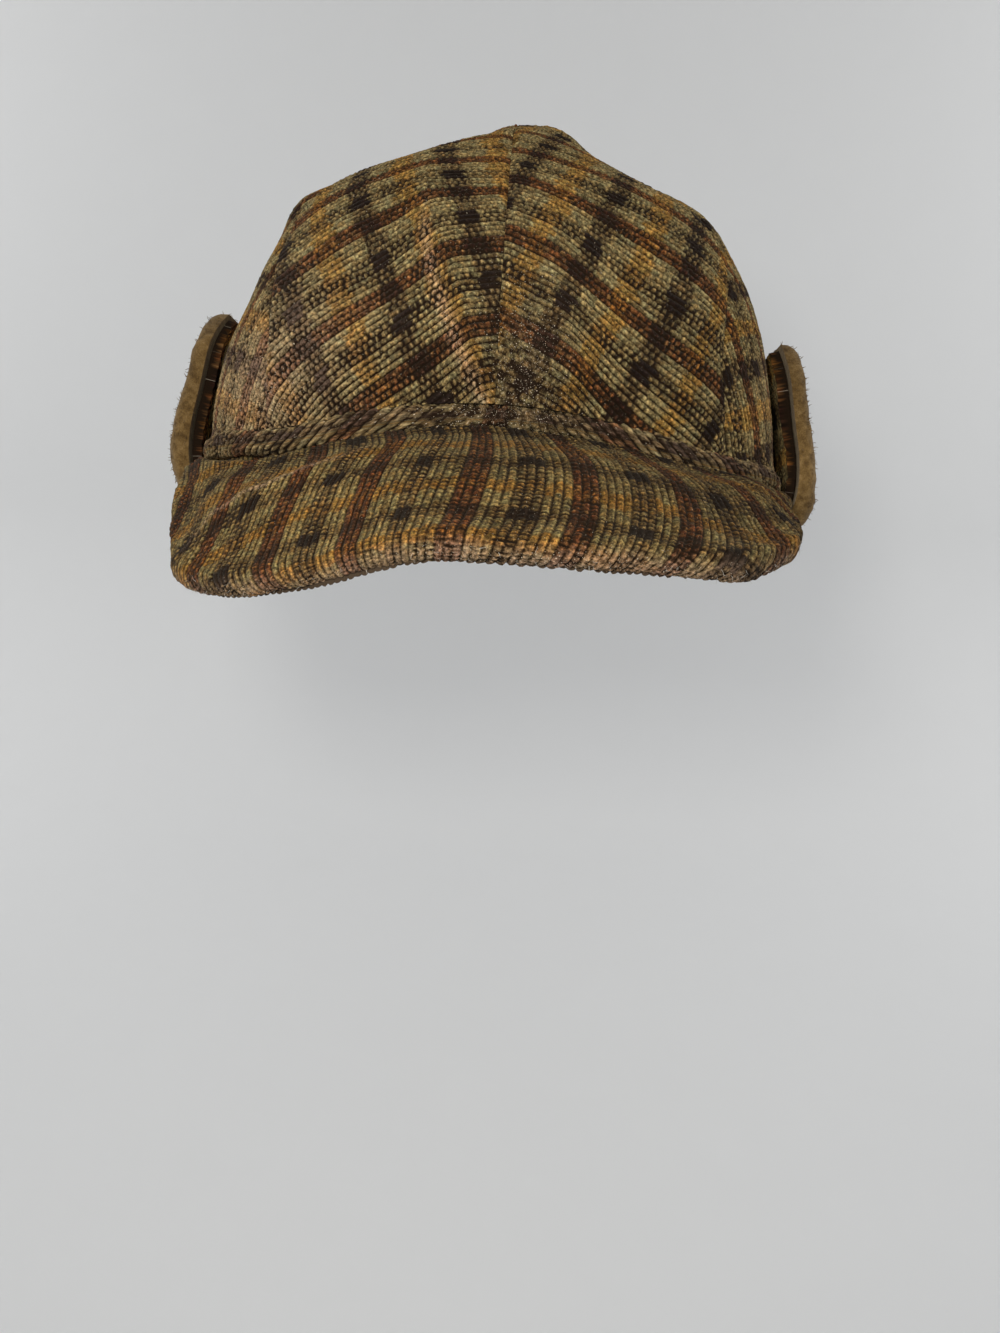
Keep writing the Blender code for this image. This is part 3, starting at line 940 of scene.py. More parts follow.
@dataclass
class Gore:
    """One gore of the crown.

    Attributes:
        name: its node's name.
        first: its first seam, counted round from the front.
        middle: the bearing of its middle.
        lay: the angle of its wales from level.
        pins: the crossings of the plaid that are seen on it.
        bends: the lines, between bearings and rises, at which its wales turn.
        row_length: the mesh's step along the wales.
        columns_per_wale: mesh columns across one wale.
        seam_dip, seam_reach: how deep and how wide the dip at a seam is.
        rim_dip, rim_reach: the same at the rim.
        tip: how far from the crown's top the first gore alone covers it.
        tip_lap: how far it lies over its neighbours there.
    """

    name: str
    first: int
    middle: float
    lay: float
    pins: Sequence[Pin]
    bends: Sequence[Bend] = ()
    row_length: float = 0.0010
    columns_per_wale: int = 5
    seam_dip: float = 0.0006
    seam_reach: float = 0.0024
    rim_dip: float = 0.0004
    rim_reach: float = 0.0040
    tip: float = 0.0010
    tip_lap: float = 0.00025

    # No gore reaches further from its middle than this, in degrees.
    HALF_TURN = 85.0

    def lay_cloth(self) -> tuple[Disc, ClothMap]:
        """Return the gore's disc and its cloth's map."""
        disc = Disc(self.middle)
        rise, share = np.meshgrid(np.linspace(0.0, 0.97, 16), np.linspace(0.0, 1.0, 11))
        start = CROWN.seam(self.first, rise)
        end = CROWN.seam(self.first + 1, rise)
        spots = disc.spots(start + (end - start) * share, rise).reshape(-1, 2)
        places = np.array([(pin.bearing, pin.rise) for pin in self.pins]).reshape(-1, 2)
        cloth = np.array([(pin.column * REPEAT, -pin.row * REPEAT) for pin in self.pins]).reshape(-1, 2)
        bends = [
            bend._replace(start=disc.spots(*np.array(bend.start)), end=disc.spots(*np.array(bend.end)))
            for bend in self.bends
        ]
        pins = (disc.spots(places[:, 0], places[:, 1]), cloth)
        return disc, ClothMap(disc.surface, spots, 0.13, self.lay, pins, bends)

    def levels(self, bearing: Array, rise: Array) -> tuple[Array, Array]:
        """Return how far points lie inside the nearer seam, and above the rim, in metres."""
        before, after = (CROWN.base(bearing + turn, rise) for turn in (-0.5, 0.5))
        per_degree = np.linalg.norm(after - before, axis=-1)
        place = self.middle + wrap_angle(bearing - self.middle)
        start = (place - CROWN.seam(self.first, rise)) * per_degree
        end = (CROWN.seam(self.first + 1, rise) - place) * per_degree
        far = np.abs(wrap_angle(bearing - self.middle)) > self.HALF_TURN
        seam = np.where(far, -0.001, np.minimum(start, end))
        top = CROWN.base(bearing, np.ones_like(rise))
        tip = self.tip - np.linalg.norm(CROWN.base(bearing, rise) - top, axis=-1)
        seam = np.maximum(seam, tip + self.tip_lap) if self.first == 0 else np.minimum(seam, -tip)
        return seam, rise * RISE_LENGTH

    def build(self, materials: Materials) -> bpy.types.Object:
        disc, lay = self.lay_cloth()
        step = PITCH / self.columns_per_wale
        cloth = lay.grid(self.row_length, step)
        shape = cloth.shape[:2]
        spots, found = lay.find(cloth.reshape(-1, 2))
        seam, rim = self.levels(*disc.places(spots))
        level = np.minimum(seam, rim).reshape(shape)
        values = np.concatenate([cloth.reshape(-1, 2), spots], 1).reshape(*shape, 4)
        values, faces = clip_grid(values, level, found.reshape(shape), 0.25 * step)
        cloth = values[:, :2]
        bearing, rise = disc.places(values[:, 2:])
        seam, rim = self.levels(bearing, rise)
        dip = self.seam_dip * np.clip(1.0 - seam / self.seam_reach, 0.0, 1.0) ** 2
        dip = dip - self.rim_dip * np.clip(1.0 - rim / self.rim_reach, 0.0, 1.0)
        beads = 0.40 - 0.85 * rise
        height, pile = NAP.read(cloth, self.crush(bearing, rise), self.wear(bearing, rise), beads)
        base = CROWN.point(bearing, rise)
        height = height + crease_height(base) + self.ripple(cloth) - dip
        points = CROWN.point(bearing, rise, height)
        front = Skin(points, cloth, pile, faces, np.zeros(len(faces), int))
        spread = coarse_marks(cloth, self.row_length, step) & (np.minimum(seam, rim) > BACK_INSET)

        def inner(spots: Array) -> Array:
            """Return the inside points of the wall."""
            return CROWN.point(*disc.places(spots), -CLOTH_WALL)

        whole = close_sheet(front, values[:, 2:], inner, spread, 1)
        item = whole.make(self.name + "_cloth", materials)
        size = np.ptp(cloth, axis=0)
        finish_piece(item, self.name)
        area = sum_area(front.cloth, front.faces)
        return item

    def crush(self, bearing: Array, rise: Array) -> Array:
        """Return how flat the pile is pressed: low on the front, beside the middle seam."""
        return bell(wrap_angle(bearing) - 4.0, 7.5) * bell(rise - 0.10, 0.26)

    def wear(self, bearing: Array, rise: Array) -> Array:
        """Return how worn the pile's tips are, low on the wearer's right of the front; the same share also
        makes the tips paler on the side gores low down and in a thin line along each sharp bend.
        """
        turn = wrap_angle(bearing)
        low_right = 0.55 * bell(turn + 40.0, 16.0) * bell(rise - 0.12, 0.20)
        sides = 0.25 * bell(np.abs(turn) - 68.0, 14.0) * bell(rise - 0.10, 0.25)
        fold = np.zeros_like(rise)
        scale = np.array([0.0015, RISE_LENGTH])
        for bend in self.bends:
            if bend.softness < 0.002:
                line = np.array([bend.start, bend.end]) * scale
                nearest, along = line_gap(np.stack([turn, rise], -1) * scale, line)
                fold = np.maximum(fold, 0.65 * bell(nearest, 0.0017) * smoothstep(2.5 * along))
        return np.clip(low_right + sides + fold + 0.08 * self.crush(bearing, rise), 0.0, 1.0)

    def ripple(self, cloth: Array) -> Array:
        """Return the cloth's soft unevenness."""
        return Ripple(0.00042, 0.017, 0.014, 11 + self.first).at(*cloth.T)


def coarse_marks(cloth: Array, row_length: float, step: float) -> Array:
    """Mark the coarse lattice of a cloth's back out of its fine grid."""
    marks = np.ones(len(cloth), bool)
    for values, pitch in ((cloth[:, 0], row_length), (cloth[:, 1], step)):
        number = np.round(values / pitch)
        marks &= (np.abs(values / pitch - number) < 1e-4) & (number % max(round(BACK_STEP / pitch), 1) == 0)
    return marks


def sum_area(places: Array, faces: list[Face]) -> float:
    """Return the flat area of faces in the plane of the cloth."""
    corners = (places[list(face)] for face in faces)
    return sum(0.5 * abs(float(cross(place, np.roll(place, -1, axis=0)).sum())) for place in corners)


def finish_piece(item: bpy.types.Object, node: str) -> None:
    """Put a piece on the frame in the place of its CAD node, and report it."""
    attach(item, "root")
    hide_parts(node)
    LOG.info("%s: %d triangles", item.name, sum(len(face.vertices) - 2 for face in item.data.polygons))


GORES = (
    Gore(
        "crown_front_left", 0, 22.0, 0.0,
        (
            Pin(3.5, 0.716, 0, 1), Pin(0.5, 0.560, 0, 2), Pin(24.0, 0.600, 1, 1), Pin(16.0, 0.452, 1, 2),
            Pin(9.5, 0.280, 1, 3), Pin(5.0, 0.076, 1, 4), Pin(44.5, 0.524, 2, 1), Pin(30.5, 0.336, 2, 2),
            Pin(22.5, 0.144, 2, 3), Pin(37.0, 0.048, 3, 3),
        ),
        (Bend((8.0, 0.62), (11.0, 0.10), 0.26, 0.005),),
        0.00048,
    ),
    Gore("crown_side_left", 1, 82.0, 90.0, (Pin(80.0, 0.30, 0.0, 0.0),)),
    Gore("crown_back_left", 2, 150.0, 0.0, (Pin(150.0, 0.30, 0.0, 0.0),)),
    Gore("crown_back_right", 3, 210.0, 0.0, (Pin(210.0, 0.30, 0.3, 0.1),)),
    Gore("crown_side_right", 4, 278.0, 90.0, (Pin(278.0, 0.30, 0.2, 0.5),)),
    Gore(
        "crown_front_right", 5, 338.0, 0.0,
        (
            Pin(-13.0, 0.648, -1, 1), Pin(-6.0, 0.496, -1, 2), Pin(-2.0, 0.324, -1, 3),
            Pin(-31.0, 0.556, -2, 1), Pin(-22.0, 0.408, -2, 2), Pin(-14.5, 0.212, -2, 3),
            Pin(-8.5, 0.012, -2, 4), Pin(-57.5, 0.476, -3, 1), Pin(-36.5, 0.288, -3, 2),
            Pin(-27.0, 0.092, -3, 3),
        ),
        (Bend((-18.5, 0.60), (-2.0, 0.008), 0.24, 0.0012),),
        0.00048,
    ),
)


@dataclass
class RimRoll:
    """The rolled hem that runs right round below the crown.

    Attributes:
        height, depth, proud, fullness: its section, as the CAD model has it.
        gap: the clearance between two layers.
        leans: bearings and the lean of the wales there, in degrees from upright.
        ripples: its unevenness, over degrees round the head and radians round the section.
        columns_per_wale: mesh columns across one wale.
        sides: mesh rows round the section.
        top_reach: how far its top is drawn up to meet the gores.
    """

    height: float = 0.0054
    depth: float = 0.0062
    proud: float = 0.0026
    fullness: float = 0.8
    gap: float = 0.0006
    leans: tuple[tuple[float, float], ...] = (
        (-180.0, 0.0), (-90.0, 4.0), (-66.0, 12.0), (-52.0, 42.0), (-30.0, 55.0), (-8.0, 60.0),
        (4.0, -10.0), (14.0, -55.0), (34.0, -58.0), (50.0, -48.0), (66.0, -20.0), (90.0, -5.0),
        (180.0, 0.0),
    )
    ripples: tuple[Ripple, ...] = (Ripple(0.00055, 7.0, 1.0, 21), Ripple(0.00022, 1.6, 1.0 / 1.4, 22))
    columns_per_wale: int = 4
    sides: int = 30
    top_reach: float = 0.0008

    def build(self, materials: Materials) -> bpy.types.Object:
        """Build the roll as one closed ring whose mesh runs along its wales."""
        fine = np.linspace(-180.0, 180.0, 1441)
        rim, _ = CROWN.rim(fine)
        length = np.concatenate([[0.0], np.cumsum(np.linalg.norm(np.diff(rim, axis=0), axis=1))])
        table = np.array(self.leans)
        lean = np.radians(np.interp(fine, table[:, 0], table[:, 1]))
        soften = np.ones(41) / 41
        lean = np.convolve(np.concatenate([lean[-41:-1], lean, lean[1:41]]), soften, "same")[40:-40]
        density = np.cos(lean) / PITCH
        count = np.concatenate([[0.0], np.cumsum(0.5 * (density[1:] + density[:-1]) * np.diff(length))])
        wales = int(round(count[-1]))
        columns = wales * self.columns_per_wale
        place = np.arange(columns) / self.columns_per_wale
        bearing = np.interp(place, count * wales / count[-1], fine)
        slant = np.tan(np.interp(bearing, fine, lean))
        per_degree = np.interp(bearing, fine, np.gradient(length, fine))
        turn = 2.0 * np.pi * (np.arange(self.sides) + 0.5) / self.sides
        radius = 0.25 * (self.height + self.depth)
        shift = radius * np.sin(turn)[:, None] * slant[None, :] / per_degree[None, :]
        bearings = bearing[None, :] + shift
        rim, outward = CROWN.rim(bearings)
        cloth = np.stack(np.broadcast_arrays((turn * radius)[:, None], (place * PITCH)[None, :]), -1)
        crush = self.crush(bearings).ravel()
        height, pile = NAP.read(cloth.reshape(-1, 2), crush, 0.22 - 0.04 * crush, 0.15)
        height = height.reshape(bearings.shape) + self.ripple(bearings, turn)
        cosine = np.cos(turn)[:, None]
        sine = np.sin(turn)[:, None]
        out = np.sign(cosine) * np.abs(cosine) ** self.fullness * 0.5 * self.depth + cosine * height
        up = np.sign(sine) * np.abs(sine) ** self.fullness * 0.5 * self.height + sine * height
        middle = self.proud - 0.5 * self.depth
        points = rim + outward * (middle + out)[..., None]
        points[..., 2] += up - self.gap - 0.5 * self.height + self.top_reach * np.maximum(sine, 0.0) ** 2
        faces = grid_faces(self.sides, columns, 1, 1)
        slots = np.zeros(len(faces), int)
        skin = Skin(points.reshape(-1, 3), cloth.reshape(-1, 2), pile, faces, slots, wales * PITCH)
        item = skin.face_out().make("rim_roll_cloth", materials)
        finish_piece(item, "rim_roll")
        return item

    def crush(self, bearings: Array) -> Array:
        """Return how flat the pile is pressed: most where the peak hangs from the roll."""
        return 0.9 * bell(bearings, 13.0) + 0.2 * bell(bearings, 40.0)

    def ripple(self, bearings: Array, turn: Array) -> Array:
        """Return the roll's unevenness."""
        turn = np.broadcast_to(turn[:, None], bearings.shape)
        return sum(ripple.at(bearings, turn) for ripple in self.ripples)


class PeakShape:
    """The peak, as the CAD model has it: stations across, each a straight run and a round nose."""

    THICKNESS = 0.0066
    CROWNING = 0.0035
    CROWN_REACH = 0.040
    TUCK = 0.0012
    ENDS = (-59.5, 59.5)
    END_ROUNDING = 0.006
    FRONT_Y = -0.103
    STATIONS = 721

    def __init__(self, roll: RimRoll) -> None:
        """Work the stations out."""
        self.roll = roll
        share = np.linspace(0.0, 1.0, self.STATIONS)
        inner = self.inner(share)
        edge = smooth_read(PEAK_EDGE, share)
        ahead = self.inner(np.minimum(share + 0.02, 1.0)) - self.inner(np.maximum(share - 0.02, 0.0))
        upward = unit(np.cross(unit(ahead), unit(edge - inner)))
        upward *= np.sign(upward[:, 2:])
        half = 0.5 * self.THICKNESS
        self.share = share
        self.start = inner - upward * half
        outward = edge - self.start
        self.reach = np.linalg.norm(outward, axis=1) - half
        self.outward = unit(outward)
        self.upward = upward
        self.crowning = self.CROWNING * np.minimum(self.reach / self.CROWN_REACH, 1.0) ** 2
        self.plan = self.start[:, :2]
        self.plan_run = unit(self.outward[:, :2])

    def inner(self, share: Array) -> Array:
        """Return the top of the peak's inner edge, right under the roll."""
        bearing = self.ENDS[0] + (self.ENDS[1] - self.ENDS[0]) * share
        rim, outward = CROWN.rim(bearing)
        point = rim - outward * self.TUCK
        point[:, 2] -= 2.0 * self.roll.gap + self.roll.height
        return point

    def at(self, table: Array, share: Array) -> Array:
        """Read one of the stations' tables at shares of the way across."""
        if table.ndim == 1:
            return np.interp(share, self.share, table)
        return np.stack([np.interp(share, self.share, column) for column in table.T], -1)

    def locate(self, plan: Array) -> tuple[Array, Array]:
        """Find the station through each point of the unrolled plan.

        Args:
            plan: x and y of points on the peak as if it lay flat.

        Returns:
            The share of the way across, and the distance out from the inner edge.
        """
        low = np.zeros(len(plan))
        high = np.ones(len(plan))
        for _ in range(26):
            middle = 0.5 * (low + high)
            gap = plan - self.at(self.plan, middle)
            right = cross(self.at(self.plan_run, middle), gap) > 0.0
            low = np.where(right, middle, low)
            high = np.where(right, high, middle)
        share = 0.5 * (low + high)
        gap = plan - self.at(self.plan, share)
        return share, (gap * self.at(self.plan_run, share)).sum(1)

    def end_gap(self, plan: Array, share: Array) -> Array:
        """Return how far points of the plan lie inside the nearer end of the peak."""
        gaps = []
        for station, side, near in ((0, 1.0, share < 0.2), (-1, -1.0, share > 0.8)):
            gap = cross(self.plan_run[station], plan - self.plan[station])
            gaps.append(np.where(near, side * gap, 1.0))
        return np.minimum(*gaps)

    def place(self, plan: Array, lift: Numbers, side: float) -> Array:
        """Return the points of the peak's face.

        Args:
            plan: x and y on the unrolled peak.
            lift: heights above the CAD model's face.
            side: 1 for the top, -1 for the underside.

        Returns:
            Their places.
        """
        share, out = self.locate(plan)
        reach = self.at(self.reach, share)
        rounded = 1.0 - np.clip(self.end_gap(plan, share) / self.END_ROUNDING, 0.0, 1.0)
        thin = 0.30 + 0.70 * np.sqrt(np.clip(1.0 - rounded**2, 0.0, 1.0))
        half = 0.5 * self.THICKNESS * thin
        turn = np.clip((out - reach) / half, 0.0, np.pi)
        run = np.minimum(out, reach)
        arch = self.at(self.crowning, share) * np.sin(np.pi * np.clip(run / reach, 0.0, 1.0)) ** 2
        outward = self.at(self.outward, share)
        upward = self.at(self.upward, share)
        normal = outward * np.sin(turn)[:, None] + upward * (side * np.cos(turn))[:, None]
        spine = self.at(self.start, share) + outward * run[:, None] + upward * arch[:, None]
        return spine + normal * (half + lift)[:, None]


@dataclass(frozen=True)
class FibreScatter:
    """Loose fibres scattered over a piece with Geometry Nodes, as real geometry.

    Attributes:
        name: the name of the node group.
        density: fibres on a square metre where the pile's third share is 1.
        length: a fibre's length.
        radius: its thickness at the root.
        seed: picks the pattern.
        bow: how far a fibre bends over, as a share of its length.
        tilt: how far it leans off upright at most, in radians.
        sides: the corners of its section.
        pieces: the straight pieces along it.
    """

    name: str
    density: float
    length: float
    radius: float
    seed: int
    bow: float = 0.45
    tilt: float = 1.1
    sides: int = 3
    pieces: int = 3

    def add_fibre(self, kit: "NodeKit") -> Socket:
        """Add the nodes of one bowed fibre and return its mesh."""
        length = kit.outside("Length")
        side = kit.times(length, self.bow)
        curve = kit.add(
            "GeometryNodeCurveQuadraticBezier",
            Resolution=self.pieces,
            Start=(0.0, 0.0, 0.0),
            Middle=kit.vector(0.0, 0.0, kit.times(length, 0.6)),
            End=kit.vector(side, kit.times(side, 0.4), length),
        )
        along = kit.add("GeometryNodeSplineParameter")
        thick = kit.minus(1.0, kit.times(along.outputs["Factor"], 0.72))
        radius = kit.outside("Radius")
        section = kit.add("GeometryNodeCurvePrimitiveCircle", Resolution=self.sides, Radius=radius)
        sized = kit.add("GeometryNodeSetCurveRadius", Curve=curve.outputs[0], Radius=thick)
        tube = kit.add(
            "GeometryNodeCurveToMesh",
            Curve=sized.outputs[0],
            Profile_Curve=section.outputs[0],
            Fill_Caps=True,
        )
        if "Scale" in tube.inputs:
            kit.put(tube.inputs["Scale"], thick)
        return tube.outputs[0]

    def build(self) -> bpy.types.NodeTree:
        """Make the node group."""
        tree = bpy.data.node_groups.new(self.name, "GeometryNodeTree")
        for label, kind in (
            ("Geometry", "Geometry"), ("Density", "Float"), ("Length", "Float"), ("Radius", "Float"),
            ("Seed", "Int"), ("Material", "Material"),
        ):
            tree.interface.new_socket(label, in_out="INPUT", socket_type="NodeSocket" + kind)
        tree.interface.new_socket("Geometry", in_out="OUTPUT", socket_type="NodeSocketGeometry")
        kit = NodeKit(tree)
        surface = kit.outside("Geometry")
        pile = kit.add("GeometryNodeInputNamedAttribute", Name="pile")
        pile.data_type = "FLOAT_VECTOR"
        density = kit.times(kit.outside("Density"), kit.split(pile.outputs["Attribute"])[2])
        seed = kit.outside("Seed")
        spread = kit.add("GeometryNodeDistributePointsOnFaces", Mesh=surface, Density=density, Seed=seed)
        lean = kit.add("FunctionNodeRandomValue", Seed=seed)
        lean.data_type = "FLOAT_VECTOR"
        lean.inputs["Min"].default_value = (-self.tilt, -self.tilt, -math.pi)
        lean.inputs["Max"].default_value = (self.tilt, self.tilt, math.pi)
        own = kit.add("FunctionNodeEulerToRotation", Euler=lean.outputs["Value"])
        upright = spread.outputs["Rotation"]
        turn = kit.add("FunctionNodeRotateRotation", Rotation=upright, Rotate_By=own.outputs[0])
        turn.rotation_space = "LOCAL"
        size = kit.add("FunctionNodeRandomValue")
        size.inputs[2].default_value = 0.45
        size.inputs[3].default_value = 1.25
        fibres = kit.add(
            "GeometryNodeInstanceOnPoints",
            Points=spread.outputs["Points"],
            Instance=self.add_fibre(kit),
            Rotation=turn.outputs[0],
            Scale=size.outputs[1],
        )
        real = kit.add("GeometryNodeRealizeInstances", Geometry=fibres.outputs[0])
        material = kit.outside("Material")
        finish = kit.add("GeometryNodeSetMaterial", Geometry=real.outputs[0], Material=material)
        both = kit.add("GeometryNodeJoinGeometry", Geometry=finish.outputs[0])
        kit.put(both.inputs[0], surface)
        kit.put(tree.nodes.new("NodeGroupOutput").inputs[0], both.outputs[0])
        return tree

    def apply(self, item: bpy.types.Object, material: bpy.types.Material) -> bpy.types.Object:
        """Give an object its fibres and make them part of its mesh.

        Args:
            item: the object, whose points carry the attribute pile.
            material: the fibres' finish.

        Returns:
            The same object with its new mesh.
        """
        tree = self.build()
        values = {
            "Density": self.density,
            "Length": self.length,
            "Radius": self.radius,
            "Seed": self.seed,
            "Material": material,
        }
        modifier = item.modifiers.new(self.name, "NODES")
        modifier.node_group = tree
        for socket in tree.interface.items_tree:
            if socket.in_out == "INPUT" and socket.name in values:
                modifier[socket.identifier] = values[socket.name]
        bpy.context.view_layer.update()
        ready = item.evaluated_get(bpy.context.evaluated_depsgraph_get())
        mesh = bpy.data.meshes.new_from_object(ready)
        item.modifiers.remove(modifier)
        plain = item.data
        item.data = mesh
        bpy.data.meshes.remove(plain)
        return item


# Crossings of the plaid's dark stripes seen on the peak.  Each row has the place on the unrolled
# plan in millimetres, x and forward from the front's middle, and then the count of repeats
# forwards and towards the wearer's left.
PEAK_PINS = (
    (31.0, 35.5, 0.0, 2.0), (11.0, 33.0, 0.0, 1.0), (-9.5, 30.0, 0.0, 0.0), (-28.0, 28.5, 0.0, -1.0),
    (-48.7, 24.5, 0.0, -2.0), (-70.0, 14.5, 0.0, -3.0), (30.5, 55.3, 1.0, 2.0), (10.0, 51.5, 1.0, 1.0),
    (-11.5, 51.0, 1.0, 0.0), (-32.7, 45.8, 1.0, -1.0), (-53.5, 44.7, 1.0, -2.0),
    (-50.5, -10.0, -1.0, -2.0), (-63.5, 0.0, -1.0, -3.0), (-37.0, 26.5, 0.0, -1.5),
    (-59.5, 21.5, 0.0, -2.5), (-19.0, 27.5, 0.0, -0.5), (43.0, 25.5, 0.0, 2.5), (42.0, 57.0, 1.0, 2.5),
    (52.5, 25.0, 0.0, 3.0), (53.5, 53.0, 1.0, 3.0),
)


@dataclass
class Peak:
    """The padded peak: a top cloth that wraps its round nose, an under cloth and a filling.

    Attributes:
        shape: its form.
        wrap: the share of the nose that the top cloth covers.
        columns_per_wale, row_length: the top cloth's mesh.
        crease, crease_height, crease_width: the fold on the wearer's right, x and forward on
            the plan.
        waves, dimples: the unevenness of both cloths and of the top.
        patches: how the wear along the nose changes.
        gap: the clearance between the two cloths.
        roll_front: where the roll above the peak ends, out from the peak's inner edge.
        swell, swell_start, swell_length: the swelling beside the roll, where it starts and how
            slowly it fades.
        wall: the thickness of a cloth.
        under_columns, under_length: the under cloth's mesh.
    """

    shape: PeakShape
    wrap: float = 0.80
    columns_per_wale: int = 4
    row_length: float = 0.00056
    crease: tuple[tuple[float, float], ...] = (
        (-0.0700, 0.0200), (-0.0600, 0.0150), (-0.0450, 0.0170), (-0.0370, 0.0170), (-0.0300, 0.0160),
        (-0.0220, 0.0110),
    )
    waves: Ripple = Ripple(0.00050, 0.019, 0.015, 31)
    dimples: Ripple = Ripple(0.00030, 0.005, 0.006, 33)
    patches: Ripple = Ripple(0.45, 0.006, 0.004, 35)
    crease_height: float = 0.0017
    crease_width: float = 0.0055
    gap: float = 0.0003
    roll_front: float = 0.0060
    swell: float = 0.0023
    swell_start: float = 0.0016
    swell_length: float = 0.013
    wall: float = 0.0014
    under_columns: int = 3
    under_length: float = 0.0022

    def plan(self, spots: Array) -> Array:
        """Return x and y on the unrolled plan for spots, which hold x and forward."""
        return np.stack([spots[:, 0], self.shape.FRONT_Y - spots[:, 1]], -1)

    def lay_cloth(self) -> ClothMap:
        """Return the map of the peak's cloth."""
        shape = self.shape
        share, out = np.meshgrid(np.linspace(0.0, 1.0, 25), np.linspace(0.0, 1.0, 13))
        share = share.ravel()
        reach = shape.at(shape.reach, share) + self.wrap * 0.5 * math.pi * shape.THICKNESS
        plan = shape.at(shape.plan, share) + (out.ravel() * reach)[:, None] * shape.at(shape.plan_run, share)
        spots = np.stack([plan[:, 0], shape.FRONT_Y - plan[:, 1]], -1)
        pins = np.array(PEAK_PINS)
        pin_cloth = pins[:, 2:] * (1.0, -1.0) * REPEAT
        bend = Bend(self.crease[1], self.crease[-1], -0.20, 0.0008, 1.2)
        return ClothMap(
            lambda places: shape.place(self.plan(places), 0.0, 1.0),
            spots,
            1.0,
            90.0,
            (pins[:, :2] * 0.001, pin_cloth),
            (bend,),
            1.13,
            0.20,
        )

    def sheet(
        self, lay: ClothMap, side: float, columns: int, row_length: float
    ) -> tuple[Skin, Array, Array]:
        """Make one cloth of the peak, one-sided.

        Args:
            lay: the map of the cloth.
            side: 1 for the top, -1 for the underside.
            columns: mesh columns across one wale.
            row_length: the mesh's step along the wales.

        Returns:
            The cloth, its cloth coordinates, spots and level, and marks for its back's points.
        """
        step = PITCH / columns
        cloth = lay.grid(row_length, step)
        shape = cloth.shape[:2]
        spots, found = lay.find(cloth.reshape(-1, 2))
        plan = self.plan(spots)
        share, out = self.shape.locate(plan)
        reach = self.shape.at(self.shape.reach, share)
        covered = self.wrap if side > 0.0 else 1.0 - self.wrap
        limit = reach + covered * 0.5 * math.pi * self.shape.THICKNESS - self.gap * (side < 0.0)
        level = np.minimum(np.minimum(out - 0.0002, limit - out), self.shape.end_gap(plan, share) - 0.0008)
        values = np.concatenate([cloth.reshape(-1, 2), spots, level[:, None]], 1).reshape(*shape, 5)
        level = level.reshape(shape)
        values, faces = clip_grid(values, level, (level > -0.004) & found.reshape(shape), 0.25 * step)
        cloth = values[:, :2]
        plan = self.plan(values[:, 2:4])
        share, out = self.shape.locate(plan)
        past = out - self.shape.at(self.shape.reach, share)
        crush, wear = self.marks(values[:, 2:4], past, side)
        beads = 0.60 * smoothstep((values[:, 2] + 0.034) / 0.040) - 0.15
        height, pile = PEAK_NAP.read(cloth, crush, wear, beads)
        height = height + self.folds(values[:, 2:4], out, side)
        points = self.shape.place(plan, height, side)
        spread = coarse_marks(cloth, row_length, step) & (values[:, 4] > BACK_INSET)
        if side < 0.0:
            faces = [face[::-1] for face in faces]
        return Skin(points, cloth, pile, faces, np.zeros(len(faces), int)), values, spread

    def marks(self, spots: Array, past: Array, side: float) -> tuple[Array, Array]:
        """Return how pressed and how worn the pile is along the nose, with a thin paler line of pile along
        the fold.

        Args:
            spots: x and forward on the plan.
            past: the distance out from the start of the nose.
            side: 1 for the top, -1 for the underside.

        Returns:
            The two shares, from 0 to 1.
        """
        nose = smoothstep((past - 0.001) / 0.007)
        patches = 0.90 + self.patches.at(*spots.T)
        middle = bell(spots[:, 0] + 0.004, 0.034)
        nearest, along = line_gap(spots, np.array(self.crease))
        line = 0.60 * bell(nearest, 0.0008) * np.sin(np.pi * np.clip(along, 0.0, 1.0)) ** 0.5
        wear = np.clip(np.maximum(nose * patches * (0.75 + 0.25 * middle), line), 0.0, 1.0)
        crush = np.clip(0.45 * nose * patches, 0.0, 1.0)
        if side < 0.0:
            return 0.3 * crush, 0.3 * wear
        return crush, wear

    def folds(self, spots: Array, out: Array, side: float) -> Array:
        """Return the peak's unevenness: soft waves, a fold and the swelling beside the roll."""
        waves = side * self.waves.at(*spots.T)
        if side < 0.0:
            return waves
        nearest, along = line_gap(spots, np.array(self.crease))
        fade = np.sin(np.pi * np.clip(0.16 + 0.72 * along, 0.0, 1.0))
        rounded = np.sqrt(nearest**2 + 0.0006**2) - 0.0006
        fold = self.crease_height * fade * np.exp(-rounded / self.crease_width)
        past = np.maximum(out - self.roll_front, 0.0)
        rise = smoothstep((out - self.swell_start) / (self.roll_front - self.swell_start))
        swell = self.swell * rise * np.exp(-past / self.swell_length)
        swell = swell * (1.15 - 0.15 * bell(spots[:, 0], 0.050))
        swell = swell * (1.0 - 0.6 * smoothstep((np.abs(spots[:, 0]) - 0.074) / 0.020))
        return waves + fold + swell + self.dimples.at(*spots.T)

    def build(self, materials: Materials) -> bpy.types.Object:
        lay = self.lay_cloth()
        whole = None
        top = (1.0, self.columns_per_wale, self.row_length)
        bottom = (-1.0, self.under_columns, self.under_length)
        for side, columns, row_length in (top, bottom):
            skin, values, spread = self.sheet(lay, side, columns, row_length)

            def inner(numbers: Array, side: float = side) -> Array:
                """Return the cloth's hidden face."""
                return self.shape.place(self.plan(numbers[:, 2:4]), -self.wall, side)

            closed = close_sheet(skin, values, inner, spread, 1).face_out()
            whole = closed if whole is None else whole.join(closed)
        whole = whole.join(self.filling())
        item = whole.make("peak_cloth", materials)
        item = FibreScatter("lint", 3.2e5, 0.0011, 0.00004, 5).apply(item, materials[2])
        finish_piece(item, "peak")
        return item

